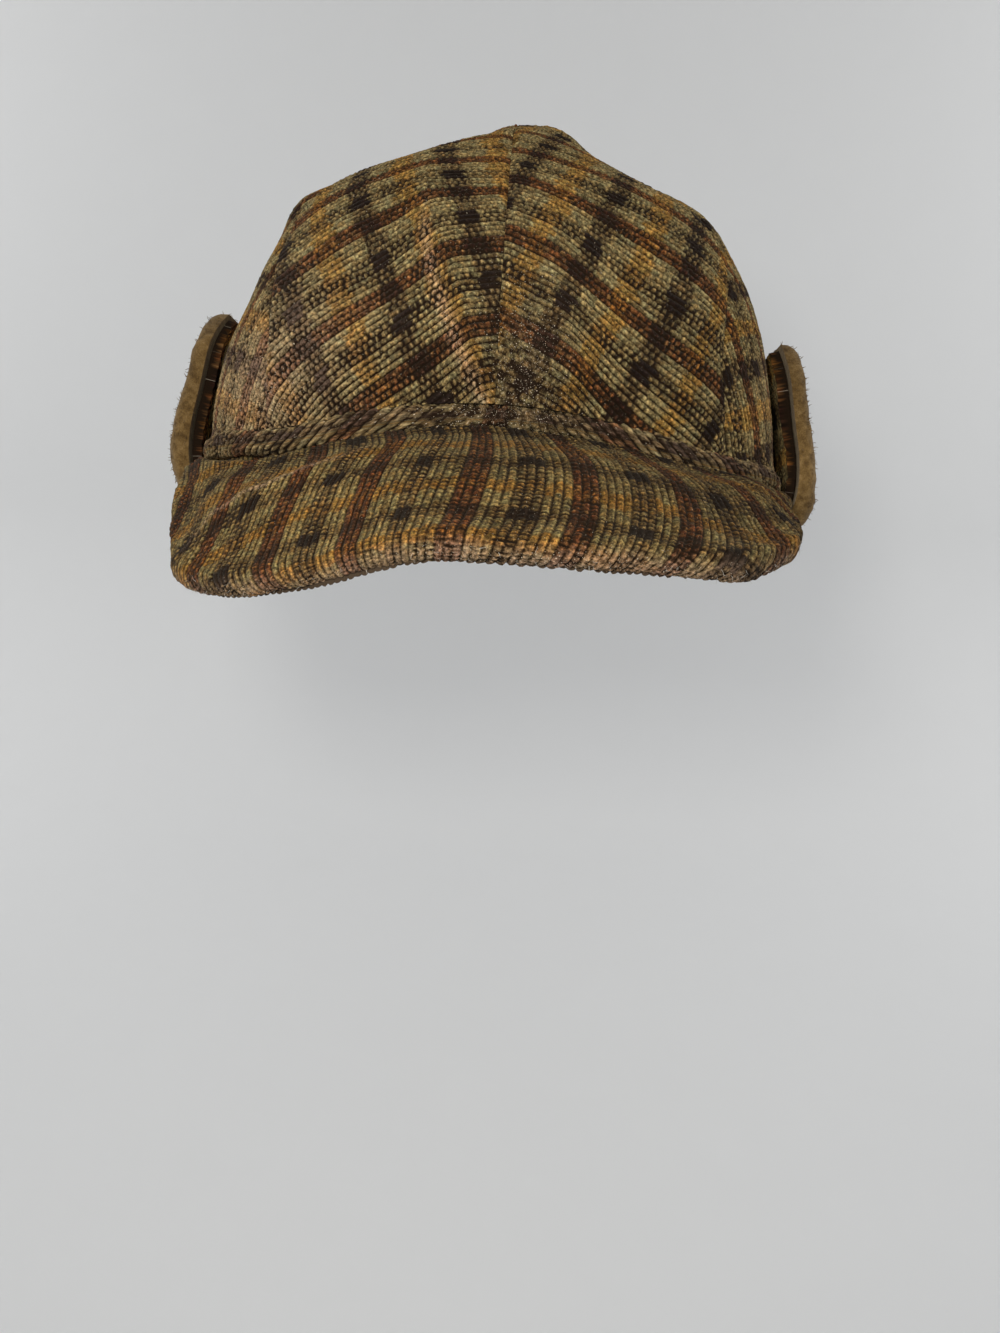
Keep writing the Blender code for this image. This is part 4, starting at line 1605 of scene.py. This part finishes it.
    def filling(self) -> Skin:
        """Return the padding between the two cloths, a plain closed form."""
        shape = self.shape
        across = np.linspace(0.012, 0.988, 48)
        inset = self.wall + self.gap
        loops = []
        for share in across:
            reach = float(shape.at(shape.reach, np.array([share]))[0])
            nose = reach + np.linspace(0.2, 0.8, 4) * 0.5 * math.pi * shape.THICKNESS
            outs = np.concatenate([np.linspace(0.0015, reach, 9), nose])
            run = shape.at(shape.plan_run, np.array([share]))[0]
            plan = shape.at(shape.plan, np.array([share]))[0] + outs[:, None] * run
            top = shape.place(plan, -inset, 1.0)
            bottom = shape.place(plan[8::-1], -inset, -1.0)
            loops.append(np.vstack([top, bottom]))
        size = len(loops[0])
        points = np.vstack(loops + [loops[0].mean(0), loops[-1].mean(0)])
        faces = grid_faces(len(loops), size, 0, 1)
        for place, middle, order in ((0, len(points) - 2, -1), (len(loops) - 1, len(points) - 1, 1)):
            for side in range(size):
                corners = (place * size + side, place * size + (side + 1) % size)
                faces.append((*corners[::order], middle))
        flat = points[:, :2].copy()
        skin = Skin(points, flat, np.zeros((len(points), 3)), faces, np.ones(len(faces), int))
        return skin.face_out()


@dataclass
class EarFlap:
    """A turned-up ear flap: corduroy towards the crown, fleece on the outside.

    Attributes:
        name: what its two nodes' names start with.
        side: 1 on the wearer's left, -1 on the right.
        front, back: the bearings of its two ends at the fold.
        front_slant, back_slant: how much nearer its middle they stand at the free edge.
        corner: how far the corners are rounded off.
        stretch, shift: how much taller and further out than the section it is.
        back_ease: how far its back end leans out.
        seed: picks the pattern of its unevenness.
        bulge: how far the fleece swells out.
        cloth, fleece, layer_gap: the thickness of each layer and the gap between them.
        lean_start, corner_start: where up the flap the slant and the rounding start.
        width, height: its flat size.
        inset: how much of that the corduroy covers.
        cloth_drop, cloth_edge: how far and over what width the corduroy thins out at its edge.
        fleece_edge: the width of the fleece's round edge.
        columns_per_wale, cloth_rows, fleece_grid: the layers' meshes.
        lumps: the fleece's unevenness.
    """

    name: str
    side: float
    front: float
    back: float
    front_slant: float
    back_slant: float
    corner: float
    stretch: float
    shift: float
    back_ease: float
    seed: int
    bulge: float = 0.0010
    cloth: float = 0.0028
    fleece: float = 0.0052
    layer_gap: float = 0.0006
    lean_start: float = 0.35
    corner_start: float = 0.8
    width: float = 0.098
    height: float = 0.062
    inset: float = 0.955
    cloth_drop: float = 0.0010
    cloth_edge: float = 0.0022
    fleece_edge: float = 0.0042
    columns_per_wale: int = 5
    cloth_rows: int = 62
    fleece_grid: tuple[int, int] = (190, 116)
    lumps: tuple[Ripple, ...] = (
        Ripple(0.00026, 0.0031, 0.0027, 5),
        Ripple(0.00020, 0.0014, 0.0013, 6),
        Ripple(0.00045, 0.012, 0.010, 7),
    )

    def section(self, share: Array) -> tuple[Array, Array]:
        """Return how far out and how high the flap is at a share of its way up."""
        row = smooth_read(FLAP_SECTION, np.clip(share, 0.0, 1.0))
        up = row[..., 1]
        return row[..., 0], up * np.where(up > 0.0, self.stretch, 1.0)

    def point(self, around: Array, share: Array, depth: Array) -> Array:
        """Return points a depth outside the line where the cloth meets the fleece."""
        lean = smoothstep((share - self.lean_start) / (1.0 - self.lean_start))
        corner = self.corner * (np.maximum(share - self.corner_start, 0.0) / (1.0 - self.corner_start)) ** 2
        front = self.front + self.front_slant * lean + corner
        back = self.back - self.back_slant * lean - corner
        turn = self.side * (front + (back - front) * around)
        out, up = self.section(share)
        out = out + self.shift + self.back_ease * around**2 * lean
        low = self.section(np.maximum(share - 0.01, 0.0))
        high = self.section(np.minimum(share + 0.01, 1.0))
        run = unit(np.stack([high[0] - low[0], high[1] - low[1]], -1))
        out = out + run[..., 1] * depth
        up = up - run[..., 0] * depth
        rim, outward = CROWN.rim(turn)
        point = rim + outward * out[..., None]
        point[..., 2] += up
        return point

    def lattice(self, columns: int, rows: int) -> tuple[Array, list[Face]]:
        """Return shares round and up for a grid of points, and its faces."""
        around, share = np.meshgrid(np.linspace(0.0, 1.0, columns + 1), np.linspace(0.0, 1.0, rows + 1))
        return np.stack([around.ravel(), share.ravel()], -1), grid_faces(rows + 1, columns + 1)

    def border(self, places: Array) -> Array:
        """Return how far points lie from the flap's outline."""
        across = np.minimum(places[:, 0], 1.0 - places[:, 0]) * self.width
        along = np.minimum(places[:, 1], 1.0 - places[:, 1]) * self.height
        return np.minimum(across, along)

    def close(self, skin: Skin, places: Array, steps: tuple[int, int], hidden: Reader) -> Skin:
        """Close a layer at its hidden face.

        Args:
            skin: the layer's seen face.
            places: the shares round and up of its points.
            steps: how many rows and columns lie between two points of the hidden face.
            hidden: gives the depth of the hidden face at places.

        Returns:
            The closed layer.
        """
        columns = int(np.sum(places[:, 1] == 0.0))
        marks = np.zeros((len(places) // columns, columns), bool)
        inside = tuple(slice(step, 1 - step, step) for step in steps)
        marks[inside] = True

        def inner(numbers: Array) -> Array:
            """Return the hidden face's points."""
            return self.point(numbers[:, 0], numbers[:, 1], hidden(numbers))

        return close_sheet(skin, places, inner, marks.ravel(), 0).face_out()

    def build_cloth(self, materials: Materials) -> bpy.types.Object:
        wales = int(round(self.width / PITCH))
        places, faces = self.lattice(wales * self.columns_per_wale, self.cloth_rows)
        places[:, 0] = 0.5 + (places[:, 0] - 0.5) * self.inset
        places[:, 1] = places[:, 1] * (0.5 + 0.5 * self.inset)
        cloth = np.stack([places[:, 1] * self.height, places[:, 0] * wales * PITCH + self.seed * 0.0036], -1)
        height, pile = NAP.read(cloth)
        edge = np.clip(1.0 - self.border(places) / self.cloth_edge, 0.0, 1.0)
        height = height - self.cloth_drop * edge**2
        height = height + Ripple(0.0005, 1.0 / 6.0, 0.25, self.seed).at(*places.T)
        points = self.point(places[:, 0], places[:, 1], -self.cloth - height)
        skin = Skin(points, cloth, pile, faces, np.zeros(len(faces), int))
        whole = self.close(skin, places, (4, 10), lambda shares: np.full(len(shares), -0.5 * self.layer_gap))
        return self.declare(whole.make(self.name + "_cloth_skin", materials), "_cloth")

    def build_fleece(self, materials: Materials) -> bpy.types.Object:
        places, faces = self.lattice(*self.fleece_grid)
        edge = 1.0 - np.clip(self.border(places) / self.fleece_edge, 0.0, 1.0)
        rounded = np.sqrt(np.clip(1.0 - edge**2, 0.0, 1.0))
        flat = places * (self.width, self.height)
        lumps = sum(lump._replace(seed=lump.seed + self.seed).at(*flat.T) for lump in self.lumps)
        lumps = lumps + self.bulge * bell(places[:, 1] - 0.36, 0.26)
        middle = 0.14 * self.fleece
        depth = middle + (self.fleece - middle) * rounded + lumps * (0.4 + 0.6 * rounded)
        points = self.point(places[:, 0], places[:, 1], depth)
        skin = Skin(points, flat[:, ::-1], np.ones((len(points), 3)), faces, np.zeros(len(faces), int))

        def hidden(shares: Array) -> Array:
            """Return the depth of the face against the cloth, drawn in round the outline."""
            near = np.clip(self.border(shares) / 0.004, 0.0, 1.0)
            return 0.5 * self.layer_gap + (0.4 * middle) * (1.0 - near)

        item = self.close(skin, places, (8, 10), hidden).make(self.name + "_fleece_skin", materials)
        tufts = FibreScatter(self.name + "_tufts", 3.4e5, 0.0008, 0.00013, self.seed, 0.9, 1.35)
        return self.declare(tufts.apply(item, materials[0]), "_fleece")

    def declare(self, item: bpy.types.Object, layer: str) -> bpy.types.Object:
        """Put a layer on the frame in the place of its node, and report it."""
        finish_piece(item, self.name + layer)
        return item


FLAPS = (
    EarFlap("ear_flap_right", -1.0, 68.0, 129.0, 7.0, 7.0, 9.0, 1.06, -0.0010, 0.0045, 2),
    EarFlap("ear_flap_left", 1.0, 68.0, 129.0, 4.0, 7.0, 6.0, 1.00, 0.0, 0.0045, 9),
)


class Blend(Enum):
    """The ways in which two colours are put together."""

    MIX = "MIX"
    MULTIPLY = "MULTIPLY"


class Grain(NamedTuple):
    """Noise in a material: cells in a metre, finer layers in them, and how strong those are."""

    scale: float
    detail: float = 2.0
    roughness: float = 0.5


# The sockets that a finish's plain values go to, in order
MATT_SOCKETS = ("Roughness", "Specular IOR Level", "Sheen Weight", "Sheen Roughness", "Sheen Tint")


class Relief(NamedTuple):
    """The bumps of a material: what they follow, how strong they are and how deep."""

    height: Socket
    strength: float
    distance: float


class NodeKit:
    """Short ways to add nodes to a tree."""

    def __init__(self, tree: bpy.types.NodeTree) -> None:
        """Keep the tree that nodes are added to."""
        self.tree = tree

    def add(self, kind: str, **inputs: object) -> bpy.types.Node:
        """Add a node and set or link its inputs by name, with _ for a space."""
        node = self.tree.nodes.new(kind)
        for name, value in inputs.items():
            self.put(node.inputs[name.replace("_", " ")], value)
        return node

    def put(self, socket: Socket, value: object) -> None:
        """Link a socket's output to an input, or set the input to a value."""
        if isinstance(value, Socket):
            self.tree.links.new(value, socket)
        else:
            socket.default_value = value

    def outside(self, name: str) -> Socket:
        """Return one of the node group's own inputs."""
        return self.tree.nodes.new("NodeGroupInput").outputs[name]

    def math(self, operation: str, *numbers: object) -> Socket:
        """Return the result of a sum on one or two numbers."""
        node = self.tree.nodes.new("ShaderNodeMath")
        node.operation = operation
        for socket, value in zip(node.inputs, numbers):
            self.put(socket, value)
        return node.outputs[0]

    def plus(self, first: object, second: object) -> Socket:
        """Return two numbers added."""
        return self.math("ADD", first, second)

    def minus(self, first: object, second: object) -> Socket:
        """Return one number less another."""
        return self.math("SUBTRACT", first, second)

    def times(self, first: object, second: object) -> Socket:
        """Return two numbers multiplied."""
        return self.math("MULTIPLY", first, second)

    def mix(self, share: object, first: object, second: object, blend: Blend = Blend.MIX) -> Socket:
        """Return two colours put together."""
        node = self.tree.nodes.new("ShaderNodeMix")
        node.data_type = "RGBA"
        node.blend_type = blend.value
        self.put(node.inputs[0], share)
        self.put(node.inputs[6], (*first, 1.0) if isinstance(first, tuple) else first)
        self.put(node.inputs[7], (*second, 1.0) if isinstance(second, tuple) else second)
        return node.outputs[2]

    def tint(self, color: object, factor: object) -> Socket:
        """Return a colour multiplied by another."""
        return self.mix(1.0, color, factor, Blend.MULTIPLY)

    def ramp(self, share: object, stops: Sequence[tuple[float, Color]]) -> Socket:
        """Return a colour read from stops between 0 and 1."""
        node = self.tree.nodes.new("ShaderNodeValToRGB")
        self.put(node.inputs[0], share)
        points = node.color_ramp.elements
        while len(points) < len(stops):
            points.new(0.5)
        for point, (place, color) in zip(points, stops):
            point.position = place
            point.color = (*color, 1.0)
        return node.outputs[0]

    def range(
        self, value: object, low: object, high: object, out_low: float = 0.0, out_high: float = 1.0
    ) -> Socket:
        """Return a number moved from one range to another and kept inside it."""
        node = self.tree.nodes.new("ShaderNodeMapRange")
        for socket, number in zip(node.inputs, (value, low, high, out_low, out_high)):
            self.put(socket, number)
        return node.outputs[0]

    def noise(self, place: object, grain: Grain) -> Socket:
        """Return noise from 0 to 1 at a place."""
        sizes = {name.capitalize(): value for name, value in grain._asdict().items()}
        return self.add("ShaderNodeTexNoise", Vector=place, **sizes).outputs["Fac"]

    def sway(self, noise: object, strength: float) -> Socket:
        """Return noise from 0 to 1 as a change to either side of 0."""
        return self.times(self.minus(noise, 0.5), strength)

    def split(self, vector: object) -> Sequence[Socket]:
        """Return a vector's three numbers."""
        return self.add("ShaderNodeSeparateXYZ", Vector=vector).outputs

    def cloth_place(self) -> Socket:
        """Return the cloth coordinates."""
        node = self.tree.nodes.new("ShaderNodeUVMap")
        node.uv_map = "cloth"
        return node.outputs[0]

    def object_place(self) -> Socket:
        """Return the place in the object's own space."""
        return self.tree.nodes.new("ShaderNodeTexCoord").outputs["Object"]

    def vector(self, x: object, y: object, z: object = 0.0) -> Socket:
        """Return a vector from three numbers."""
        node = self.tree.nodes.new("ShaderNodeCombineXYZ")
        for socket, value in zip(node.inputs, (x, y, z)):
            self.put(socket, value)
        return node.outputs[0]


def new_material(name: str) -> tuple[bpy.types.Material, NodeKit, bpy.types.Node]:
    """Return a new material, a kit for its nodes and its shader."""
    material = bpy.data.materials.new(name)
    material.use_nodes = True
    return material, NodeKit(material.node_tree), material.node_tree.nodes["Principled BSDF"]


def dress(
    kit: NodeKit,
    shader: bpy.types.Node,
    color: object,
    values: Sequence[object],
    relief: Relief | None = None,
) -> None:
    """Give a shader its colour, its plain values and its relief.

    Args:
        kit: adds the nodes.
        shader: the material's shader.
        color: its colour.
        values: what the matt sockets are set to, in order, from the first.
        relief: the bumps, if it has any.
    """
    kit.put(shader.inputs["Base Color"], color)
    for name, value in zip(MATT_SOCKETS, values):
        shader.inputs[name].default_value = value
    if relief:
        sizes = {name.capitalize(): value for name, value in relief._asdict().items()}
        kit.put(shader.inputs["Normal"], kit.add("ShaderNodeBump", **sizes).outputs[0])


@dataclass(frozen=True)
class PlaidRow:
    """The colours along one kind of wale, where it meets each cross stripe."""

    dark: Color
    olive: Color
    gold: Color


# Places from 0 to 1 in a noise, and how it shades the cloth there
RUST_SHADES = ((0.42, (0.38, 0.35, 0.34)), (0.54, (1.18, 1.20, 1.16)))
CLOUD_SHADES = ((0.3, (0.76, 0.74, 0.72)), (0.7, (1.22, 1.22, 1.2)))
HUE_SHADES = ((0.35, (1.12, 0.97, 0.84)), (0.65, (0.92, 1.03, 1.12)))
GRAIN_SHADES = ((0.37, (0.26, 0.24, 0.22)), (0.5, (0.90, 0.90, 0.90)), (0.63, (1.95, 1.95, 1.92)))
FIBRE_SHADES = ((0.3, (0.72, 0.70, 0.67)), (0.7, (1.24, 1.24, 1.22)))
WASH_SHADES = ((0.35, (0.82, 0.81, 0.80)), (0.65, (1.14, 1.14, 1.14)))


@dataclass(frozen=True)
class CorduroyFinish:
    """Printed plaid corduroy, read from the cloth coordinates.

    Attributes:
        rust: the wales of the rust stripe.
        olive: the plain wales.
        dark: the wales of the dark stripe.
        gap: the colour down between two wales, very dark as painted shade in the grooves.
        worn: the worn tips of the pile.
        speck: painted glints, the colour of fibres shown catching the light.
        matt: the values of the matt sockets.
        ridge: the strength of a painted highlight in a thin line along one side of each wale, with painted
            shade over the rest of the wale.
        blur: how softly one colour passes into the next along a wale, in repeats.
        wander: how far the print strays along a wale.
    """

    rust: PlaidRow = PlaidRow((0.022, 0.008, 0.006), (0.130, 0.050, 0.018), (0.162, 0.068, 0.017))
    olive: PlaidRow = PlaidRow((0.134, 0.094, 0.042), (0.182, 0.140, 0.062), (0.218, 0.128, 0.034))
    dark: PlaidRow = PlaidRow((0.007, 0.004, 0.004), (0.190, 0.140, 0.060), (0.200, 0.112, 0.032))
    gap: Color = (0.014, 0.0075, 0.0035)
    worn: Color = (0.400, 0.260, 0.175)
    speck: Color = (0.62, 0.53, 0.40)
    matt: tuple = (0.88, 0.07, 0.03, 0.4, (0.95, 0.82, 0.60, 1.0))
    ridge: float = 0.0
    blur: float = 0.016
    wander: float = 0.0015

    def row_color(self, kit: NodeKit, place: object, row: PlaidRow) -> Socket:
        """Return the colour along one kind of wale."""
        dark = 2.0 * CROSS_DARK_HALF
        gold = 2.0 * GOLD_EDGE
        blur = 2.0 * self.blur
        stops = (dark - blur, dark + blur, gold - blur, gold + blur)
        return kit.ramp(place, tuple(zip(stops, (row.dark, row.olive, row.olive, row.gold))))

    def fold(self, kit: NodeKit, place: object) -> Socket:
        """Return 0 at a dark stripe's middle and 1 half a repeat away from it."""
        part = kit.math("FRACT", kit.plus(place, 1000.5))
        return kit.times(kit.math("ABSOLUTE", kit.minus(part, 0.5)), 2.0)

    def stripe(self, kit: NodeKit, place: object, half: float, blur: float) -> Socket:
        """Return 1 inside a stripe and 0 outside, or the other way round with a blur below 0."""
        return kit.range(place, 2.0 * half + blur, 2.0 * half - blur)

    def stray(self, kit: NodeKit, place: object, wale: object) -> Socket:
        """Return how far along the wales the print strays."""
        white = kit.add("ShaderNodeTexWhiteNoise")
        white.noise_dimensions = "1D"
        kit.put(white.inputs["W"], wale)
        wave = kit.sway(kit.noise(place, Grain(90.0, 1.0)), 2.6 * self.wander)
        drift = kit.plus(wave, kit.sway(white.outputs["Value"], self.wander))
        return kit.plus(drift, kit.sway(kit.noise(place, Grain(1100.0, 2.0, 0.6)), 1.9 * self.wander))

    def plaid(self, kit: NodeKit, place: object, u: object, v: object) -> tuple[Socket, Socket]:
        """Return the print's colour, and how much of it is dark stripe, from 0 to 1."""
        wale = kit.math("FLOOR", kit.math("DIVIDE", v, PITCH))
        along = self.fold(kit, kit.math("DIVIDE", kit.plus(u, self.stray(kit, place, wale)), REPEAT))
        across = self.fold(kit, kit.times(kit.plus(wale, 0.5), PITCH / REPEAT))
        is_dark = self.stripe(kit, across, DARK_HALF, 0.004)
        is_rust = self.stripe(kit, across, RUST_EDGE, -0.004)
        dark_along = self.stripe(kit, along, CROSS_DARK_HALF, 0.03)
        olive, dark, rust = (self.row_color(kit, along, row) for row in (self.olive, self.dark, self.rust))
        tufts = kit.range(kit.noise(place, Grain(620.0, 3.0, 0.7)), 0.47, 0.57)
        tufts = kit.times(tufts, kit.minus(0.85, kit.times(dark_along, 0.65)))
        strayed = kit.mix(0.55, kit.tint(olive, (1.0, 0.80, 0.66)), rust)
        rust = kit.mix(tufts, rust, strayed)
        rust = kit.tint(rust, kit.ramp(kit.noise(place, Grain(760.0, 3.0, 0.7)), RUST_SHADES))
        color = kit.mix(is_rust, kit.mix(is_dark, olive, dark), rust)
        darkness = kit.math("MAXIMUM", is_dark, kit.math("MAXIMUM", dark_along, kit.times(is_rust, 0.6)))
        return color, darkness

    def draw_ridges(self, kit: NodeKit, color: object, v: object, level: object) -> Socket:
        """Return the colour with a painted highlight in a thin line along one side of each wale, and painted
        shade over the rest of it.
        """
        part = kit.math("FRACT", kit.plus(kit.math("DIVIDE", v, PITCH), 1000.0))
        line = kit.range(kit.math("ABSOLUTE", kit.minus(part, 0.26)), 0.17, 0.05)
        line = kit.times(line, kit.range(level, 0.15, 0.75))
        # The painted highlight's colour, and the rest of the wale darkened as painted shade.
        light = kit.mix(0.02, kit.tint(color, (2.6, 2.5, 2.3)), (0.34, 0.25, 0.13))
        base = kit.mix(self.ridge, color, kit.tint(color, (0.68, 0.66, 0.62)))
        return kit.mix(kit.times(line, self.ridge), base, light)

    def build(self, name: str = "corduroy") -> bpy.types.Material:
        """Make the material."""
        material, kit, shader = new_material(name)
        place = kit.cloth_place()
        u, v, _ = kit.split(place)
        plaid, darkness = self.plaid(kit, place, u, v)
        grain = kit.noise(place, Grain(1150.0, 3.0, 0.72))
        grains = kit.ramp(grain, GRAIN_SHADES)
        plaid = kit.tint(plaid, kit.ramp(kit.noise(place, Grain(170.0, 3.0, 0.6)), CLOUD_SHADES))
        plaid = kit.tint(plaid, kit.ramp(kit.noise(place, Grain(520.0)), HUE_SHADES))
        plaid = kit.tint(plaid, grains)
        pile = kit.add("ShaderNodeAttribute")
        pile.attribute_name = "pile"
        height, wear, crush = kit.split(pile.outputs["Vector"])
        dash = kit.noise(kit.vector(u, kit.times(v, 0.35)), Grain(1500.0, 2.0, 0.65))
        strand = kit.noise(kit.vector(kit.times(u, 0.22), v), Grain(5200.0, 2.0, 0.65))
        level = kit.plus(kit.plus(height, kit.sway(dash, 1.25)), kit.sway(strand, 0.60))
        # Painted shade: the pile is drawn darker down its sides and in its furrows, down to the gap colour
        # in the grooves.
        low = kit.plus(0.16, kit.times(darkness, 0.12))
        color = kit.mix(kit.range(level, low, kit.plus(low, 0.74)), self.gap, plaid)
        # Painted highlight along one side of each wale, painted shade over the rest.
        if self.ridge > 0.0:
            color = self.draw_ridges(kit, color, v, level)
        # Paler wale tops: a painted highlight, and partly the paler worn tips.
        pale = kit.mix(0.05, kit.tint(plaid, (2.0, 1.95, 1.85)), (0.30, 0.225, 0.125))
        color = kit.mix(kit.times(kit.range(level, 0.80, 1.20), 0.85), color, pale)
        worn = kit.mix(0.8, self.worn, kit.tint(self.worn, grains))
        rub = kit.times(wear, kit.range(kit.plus(level, kit.minus(grain, 0.5)), 0.28, 0.90))
        color = kit.mix(kit.times(rub, 0.84), color, kit.mix(0.22, worn, pale))
        # Painted glints: small pale specks where fibres catch the light, more of them where the pile is worn
        # or pressed.
        rough = kit.math("MAXIMUM", wear, crush)
        speck = kit.plus(kit.noise(place, Grain(2900.0, 1.0)), kit.times(rough, 0.05))
        glint_mask = kit.times(kit.range(speck, 0.715, 0.765), kit.plus(0.45, rough))
        color = kit.mix(glint_mask, color, self.speck)
        dress(kit, shader, color, self.matt, Relief(kit.plus(dash, strand), 0.8, 0.00028))
        return material


# The peak's corduroy: darker and browner colours than the crown's, and a painted highlight line along one
# side of each wale.
PEAK_CORDUROY = CorduroyFinish(
    rust=PlaidRow((0.030, 0.011, 0.005), (0.088, 0.029, 0.010), (0.098, 0.038, 0.010)),
    olive=PlaidRow((0.112, 0.074, 0.027), (0.120, 0.088, 0.034), (0.142, 0.076, 0.017)),
    dark=PlaidRow((0.004, 0.002, 0.0015), (0.120, 0.080, 0.031), (0.130, 0.072, 0.020)),
    ridge=0.55,
)


@dataclass(frozen=True)
class ClothBackFinish:
    """The plain back of the corduroy: a flat weave in the print's faded colours."""

    color: Color = (0.048, 0.032, 0.019)
    thread: float = 1500.0

    def build(self) -> bpy.types.Material:
        """Make the material."""
        material, kit, shader = new_material("cloth_back")
        place = kit.cloth_place()
        u, v, _ = kit.split(place)
        rise, run = (kit.math("SINE", kit.times(part, 2.0 * math.pi * self.thread)) for part in (u, v))
        weave = kit.range(kit.times(rise, run), -1.0, 1.0)
        cloud = kit.noise(place, Grain(160.0, 3.0))
        low, high = (tuple(share * part for part in self.color) for share in (0.72, 1.25))
        color = kit.mix(weave, kit.mix(cloud, low, self.color), kit.mix(cloud, self.color, high))
        dress(kit, shader, color, (0.9, 0.2), Relief(weave, 0.35, 0.0001))
        return material


@dataclass(frozen=True)
class FleeceFinish:
    """Matted tan fleece."""

    low: Color = (0.080, 0.044, 0.014)
    color: Color = (0.170, 0.103, 0.036)
    high: Color = (0.262, 0.170, 0.070)
    matt: tuple = (0.95, 0.1, 0.15, 0.5, (0.98, 0.86, 0.66, 1.0))

    def build(self) -> bpy.types.Material:
        """Make the material."""
        material, kit, shader = new_material("fleece")
        place = kit.object_place()
        clumps = kit.noise(place, Grain(420.0, 3.0, 0.62))
        fibres = kit.noise(place, Grain(2600.0, 2.0, 0.7))
        color = kit.ramp(clumps, ((0.28, self.low), (0.52, self.color), (0.78, self.high)))
        color = kit.tint(color, kit.ramp(fibres, FIBRE_SHADES))
        color = kit.tint(color, kit.ramp(kit.noise(place, Grain(60.0)), WASH_SHADES))
        height = kit.plus(kit.times(clumps, 0.7), kit.times(fibres, 0.3))
        dress(kit, shader, color, self.matt, Relief(height, 0.8, 0.0006))
        return material


@dataclass(frozen=True)
class PlainFinish:
    """A plain matt surface with a faint grain, for the studio."""

    name: str
    color: Color
    roughness: float = 0.9

    def build(self) -> bpy.types.Material:
        """Make the material."""
        material, kit, shader = new_material(self.name)
        grain = kit.noise(kit.object_place(), Grain(40.0, 3.0))
        low = tuple(0.985 * part for part in self.color)
        dress(kit, shader, kit.mix(grain, low, self.color), (self.roughness, 0.2))
        return material


@dataclass
class Studio:
    """The pale floor, the soft lights and the camera at the photo's angle."""

    camera_place: Spot = (0.0075, -0.346, 0.066)
    right: Spot = (0.998546, 0.020149, 0.0500)
    down: Spot = (0.053906, -0.373243, -0.9262)
    frame_height: float = 1333.0
    focal_pixels: float = 1000.0
    sensor: float = 36.0
    floor_z: float = -0.311
    wall_y: float = 0.42

    def add_camera(self) -> None:
        """Add the camera and make it the scene's."""
        data = bpy.data.cameras.new("camera")
        data.sensor_width = self.sensor
        data.lens = self.focal_pixels * self.sensor / self.frame_height
        data.clip_start = 0.01
        item = add_object("camera", data)
        right = Vector(self.right).normalized()
        down = Vector(self.down)
        down = (down - down.dot(right) * right).normalized()
        back = right.cross(-down)
        turn = Matrix((right, -down, back)).transposed()
        item.matrix_world = Matrix.Translation(self.camera_place) @ turn.to_4x4()
        bpy.context.scene.camera = item

    def add_light(self, name: str, place: Spot, aim: Spot, size: float, power: float, color: Color) -> None:
        """Add a square soft light that looks at a place."""
        data = bpy.data.lights.new(name, "AREA")
        data.size = size
        data.energy = power
        data.color = color
        item = add_object(name, data)
        item.location = place
        item.rotation_euler = (Vector(aim) - Vector(place)).to_track_quat("-Z", "Y").to_euler()

    def add_floor(self) -> None:
        """Add a floor that runs up into a backdrop in one round sweep."""
        half = 3.0
        bend = 0.20
        profile = [(-half, self.floor_z)]
        for step in range(13):
            turn = 0.5 * math.pi * step / 12
            y = self.wall_y - bend + bend * math.sin(turn)
            profile.append((y, self.floor_z + bend - bend * math.cos(turn)))
        profile.append((self.wall_y, self.floor_z + half))
        points = [(side * half, y, z) for y, z in profile for side in (-1.0, 1.0)]
        faces = [(2 * step, 2 * step + 1, 2 * step + 3, 2 * step + 2) for step in range(len(profile) - 1)]
        mesh = bpy.data.meshes.new("floor")
        mesh.from_pydata(points, [], faces)
        mesh.shade_smooth()
        mesh.materials.append(PlainFinish("floor", (0.78, 0.79, 0.795)).build())
        add_object("floor", mesh)

    def build(self) -> None:
        """Set the whole studio up."""
        scene = bpy.context.scene
        scene.view_settings.view_transform = "Standard"
        world = bpy.data.worlds.new("studio")
        world.use_nodes = True
        background = world.node_tree.nodes["Background"]
        background.inputs["Color"].default_value = (0.985, 0.99, 1.0, 1.0)
        background.inputs["Strength"].default_value = 0.34
        scene.world = world
        self.add_camera()
        self.add_floor()
        self.add_light("key", (-0.030, -0.346, 0.115), (0.0, -0.08, 0.05), 0.045, 0.72, (1.0, 0.97, 0.92))
        for side in (-1.0, 1.0):
            place = (side * 0.80, 0.10, 0.30)
            self.add_light("wash", place, (0.0, 0.42, -0.15), 0.5, 2.4, (1.0, 0.99, 0.98))


def main() -> None:
    logging.basicConfig(level=logging.INFO, format="%(message)s")
    corduroy = CorduroyFinish().build()
    back = ClothBackFinish().build()
    Studio().build()
    fleece = FleeceFinish().build()
    lint = PlainFinish("lint", (0.55, 0.50, 0.42)).build()
    for gore in GORES:
        gore.build((corduroy, back))
    roll = RimRoll()
    roll.build((corduroy, back))
    Peak(PeakShape(roll)).build((PEAK_CORDUROY.build("corduroy_peak"), back, lint))
    for flap in FLAPS:
        flap.build_cloth((corduroy, back))
        flap.build_fleece((fleece,))


if __name__ == "__main__":
    main()
